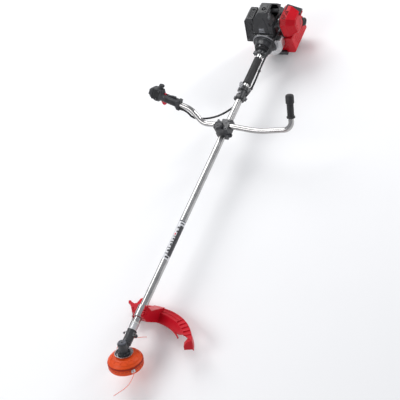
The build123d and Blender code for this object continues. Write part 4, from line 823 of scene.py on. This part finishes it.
cover.prism(Place(on_tube(1582, 0, 0), Y_AXIS, X_AXIS), [(49, -6), (93, -6), (91, 84), (80, 96), (49, 96)],
            -WALL, 0)
cover.piece("muffler_cover", HOOD, "machine", slot="black_plastic", bevel=0.6, replaces=["muffler_guard"])
mesh_part = Shape()
honeycomb(mesh_part, COVER_FRONT, 7, 6.5, 36.5, 88, 6.6, 2.5, -WALL, -0.5)
mesh_part.piece("muffler_mesh", MESH, "machine", slot="black_plastic")
# Painted shade: a dark sheet in the muffler's soot colour, just behind the mesh, fills the cover's shaded
# inside.
shade_backing = Shape()
shade_backing.prism(COVER_FRONT, [(5, 1), (44, 1), (44, 90), (5, 90)], -7, -5.8)
shade_backing.prism(COVER_FRONT, [(5, 1), (44, 1), (44, 3), (5, 3)], -7, -WALL)
shade_backing.piece("muffler_backing", SOOT, "machine", slot="black_plastic")
top_mesh = Shape()
honeycomb(top_mesh, COVER_TOP, 10, 7, 57, 25, 8.6, 2.6, -WALL, -0.3)
top_mesh.piece("muffler_top_mesh", HOOD, "machine", slot="black_plastic")
bars = Shape()
for k in range(8):
    bars.block(COVER_SIDE, -62 - 0.6 * k, 14 + 9 * k, -0.6, 70, 3.4, 2.0, 0.85)
bars.piece("muffler_cover_bars", HOOD, "machine", slot="black_plastic", bevel=0.4)

# ---- air filter ---------------------------------------------------------------------------------
RED = LOOK["tank_red"]
CHAMFER = Place(on_tube(1500, -78.5, 78), -Y_AXIS, Vector((-22, 0, 18)))
# Painted shade: the filter's holes are flat dark discs inside raised rings, not openings.
grille, hole_shade = Shape(), Shape()
for column in range(3):
    for row in range(6):
        spot = upright(1522 + 8.2 * row, -85 - 7 * column, 99.6)
        if (row + column) % 5 != 4:
            hole_shade.lathe(spot, [(0, 0.25), (2.3, 0.25), (2.4, -0.6)], sides=18)
            grille.ring(spot, [(2.3, -0.5), (2.3, 0.7), (2.9, 0.7), (3.3, -0.5)], sides=18)
for k in range(3):
    grille.block(CHAMFER.shift(13, 5 + 9 * k, 0), 0, 0, -0.6, 22, 2.4, 2.0, 0.8)
hole_shade.piece("filter_holes", DARK, "machine", slot="black_plastic")
grille.piece("filter_grille", RED, "machine", slot="tank_red", bevel=0.2)

PANEL = Place(on_tube(1574, -78.5, 100), X_AXIS, Vector((0, -28, 68.5)))
Shape().prism(PANEL, [(-6, -3), (30, -3), (30, -71), (-3, -71)], -0.4, 3.2, 0.95).piece(
    "filter_top_panel", BLACK, "machine", slot="black_plastic", bevel=0.5)
face = facing_left(1548, -139, 48)
front_detail = Shape()
front_detail.prism(face, [(-24, -26), (16, -26), (26, -12), (26, 24), (14, 34), (-16, 34), (-26, 20)],
                   -0.8, 1.6, 0.92)
front_detail.piece("filter_face_panel", RED, "machine", slot="tank_red", bevel=1.0)
# Painted shade: the face's recess is a raised plate of dark red, not a hollow.
Shape().prism(face, [(4, -20), (13, -20), (21, -9), (21, 10), (12, 2)], 1.2, 2.1, 0.9).piece(
    "filter_face_recess", RECESS_SHADE_RED, "machine", slot="tank_red", bevel=0.4)

# ---- fuel tank, cap, starter and stand ----------------------------------------------------------
CAP = facing_left(1620, -107, -22)
cap_profile = [(12.2, 0), (16.2, 0), (17, 0.8, 0.35, 30), (17, 12, 0.35, 30), (16.2, 13.4), (13, 14), (4, 14.2),
               (0.01, 14.2), (0.01, 8), (12.2, 8)]
Shape().ring(CAP, cap_profile, sides=120).block(CAP, 0, 0, 13, 26, 6, 4, 0.9).piece(
    "fuel_cap_grip", RUBBER, "fuel_cap", slot="rubber_black", replaces=["fuel_cap"])
tank_detail = Shape()
for k in range(4):
    tank_detail.block(facing_left(1569, -108, -26 - 13 * k), 0, 0, -0.8, 96 - 6 * k, 3, 1.8, 0.9)
tank_detail.block(upright(1569.5, -90, -2), 0, 0, -0.6, 100, 20, 1.4, 0.94)
tank_detail.piece("tank_ribs", RED, "machine", slot="tank_red", bevel=0.6)
neck_profile = [(12.2, -1), (20, -1), (20, 1.2), (18.6, 1.9), (17.8, 1.0)]
Shape().ring(facing_left(1620, -105, -22), neck_profile, sides=56).piece(
    "tank_neck", RED, "machine", slot="tank_red")

boss_profile = [(2.2, 0), (6.5, 0), (6.5, 12), (5.6, 13), (2.2, 13)]
starter = Shape()
starter.lathe(TUBE.shift(0, 0, 1636), [(0, 2.4), (9, 2.4), (13, 1.8), (14, 0), (14, -0.5)], sides=56)
for k in range(4):
    spot = TUBE.spin(45 + 90 * k)
    starter.ring(Place(spot.at(61, 0, 1596), spot.x, X_AXIS), boss_profile, sides=30)
starter.piece("starter_bosses", BLACK, "machine", slot="black_plastic")
starter_screws = Shape()
for k in range(4):
    spot = TUBE.spin(45 + 90 * k)
    starter_screws.screw(Place(spot.at(61, 0, 1609), spot.x, X_AXIS), 3.8, 2.4)
for y, height in ((-31, 10), (31, 10), (-31, -30), (31, -30)):
    starter_screws.bolt(Place(on_tube(1499.6, y, height), Y_AXIS, -X_AXIS), 7, 3.4)
starter_screws.piece("engine_screws", SCREW, "machine", slot="steel")
feet = Shape()
for x in (-25, 25):
    for y in (-48, 48):
        feet.block(upright(FOOT_STATION + x, y, -129), 0, 0, -0.4, 16, 22, 3, 0.8)
feet.piece("stand_pads", RUBBER, "machine", slot="rubber_black", bevel=0.8)

# ---- floor --------------------------------------------------------------------------------------
floor = Shape().block(Place((0, 0, 0), X_AXIS, Z_AXIS), 0, 0, -20, 16000, 16000, 20).mesh("floor")
floor_object = link("floor", floor)
floor.materials.append(FLOOR)
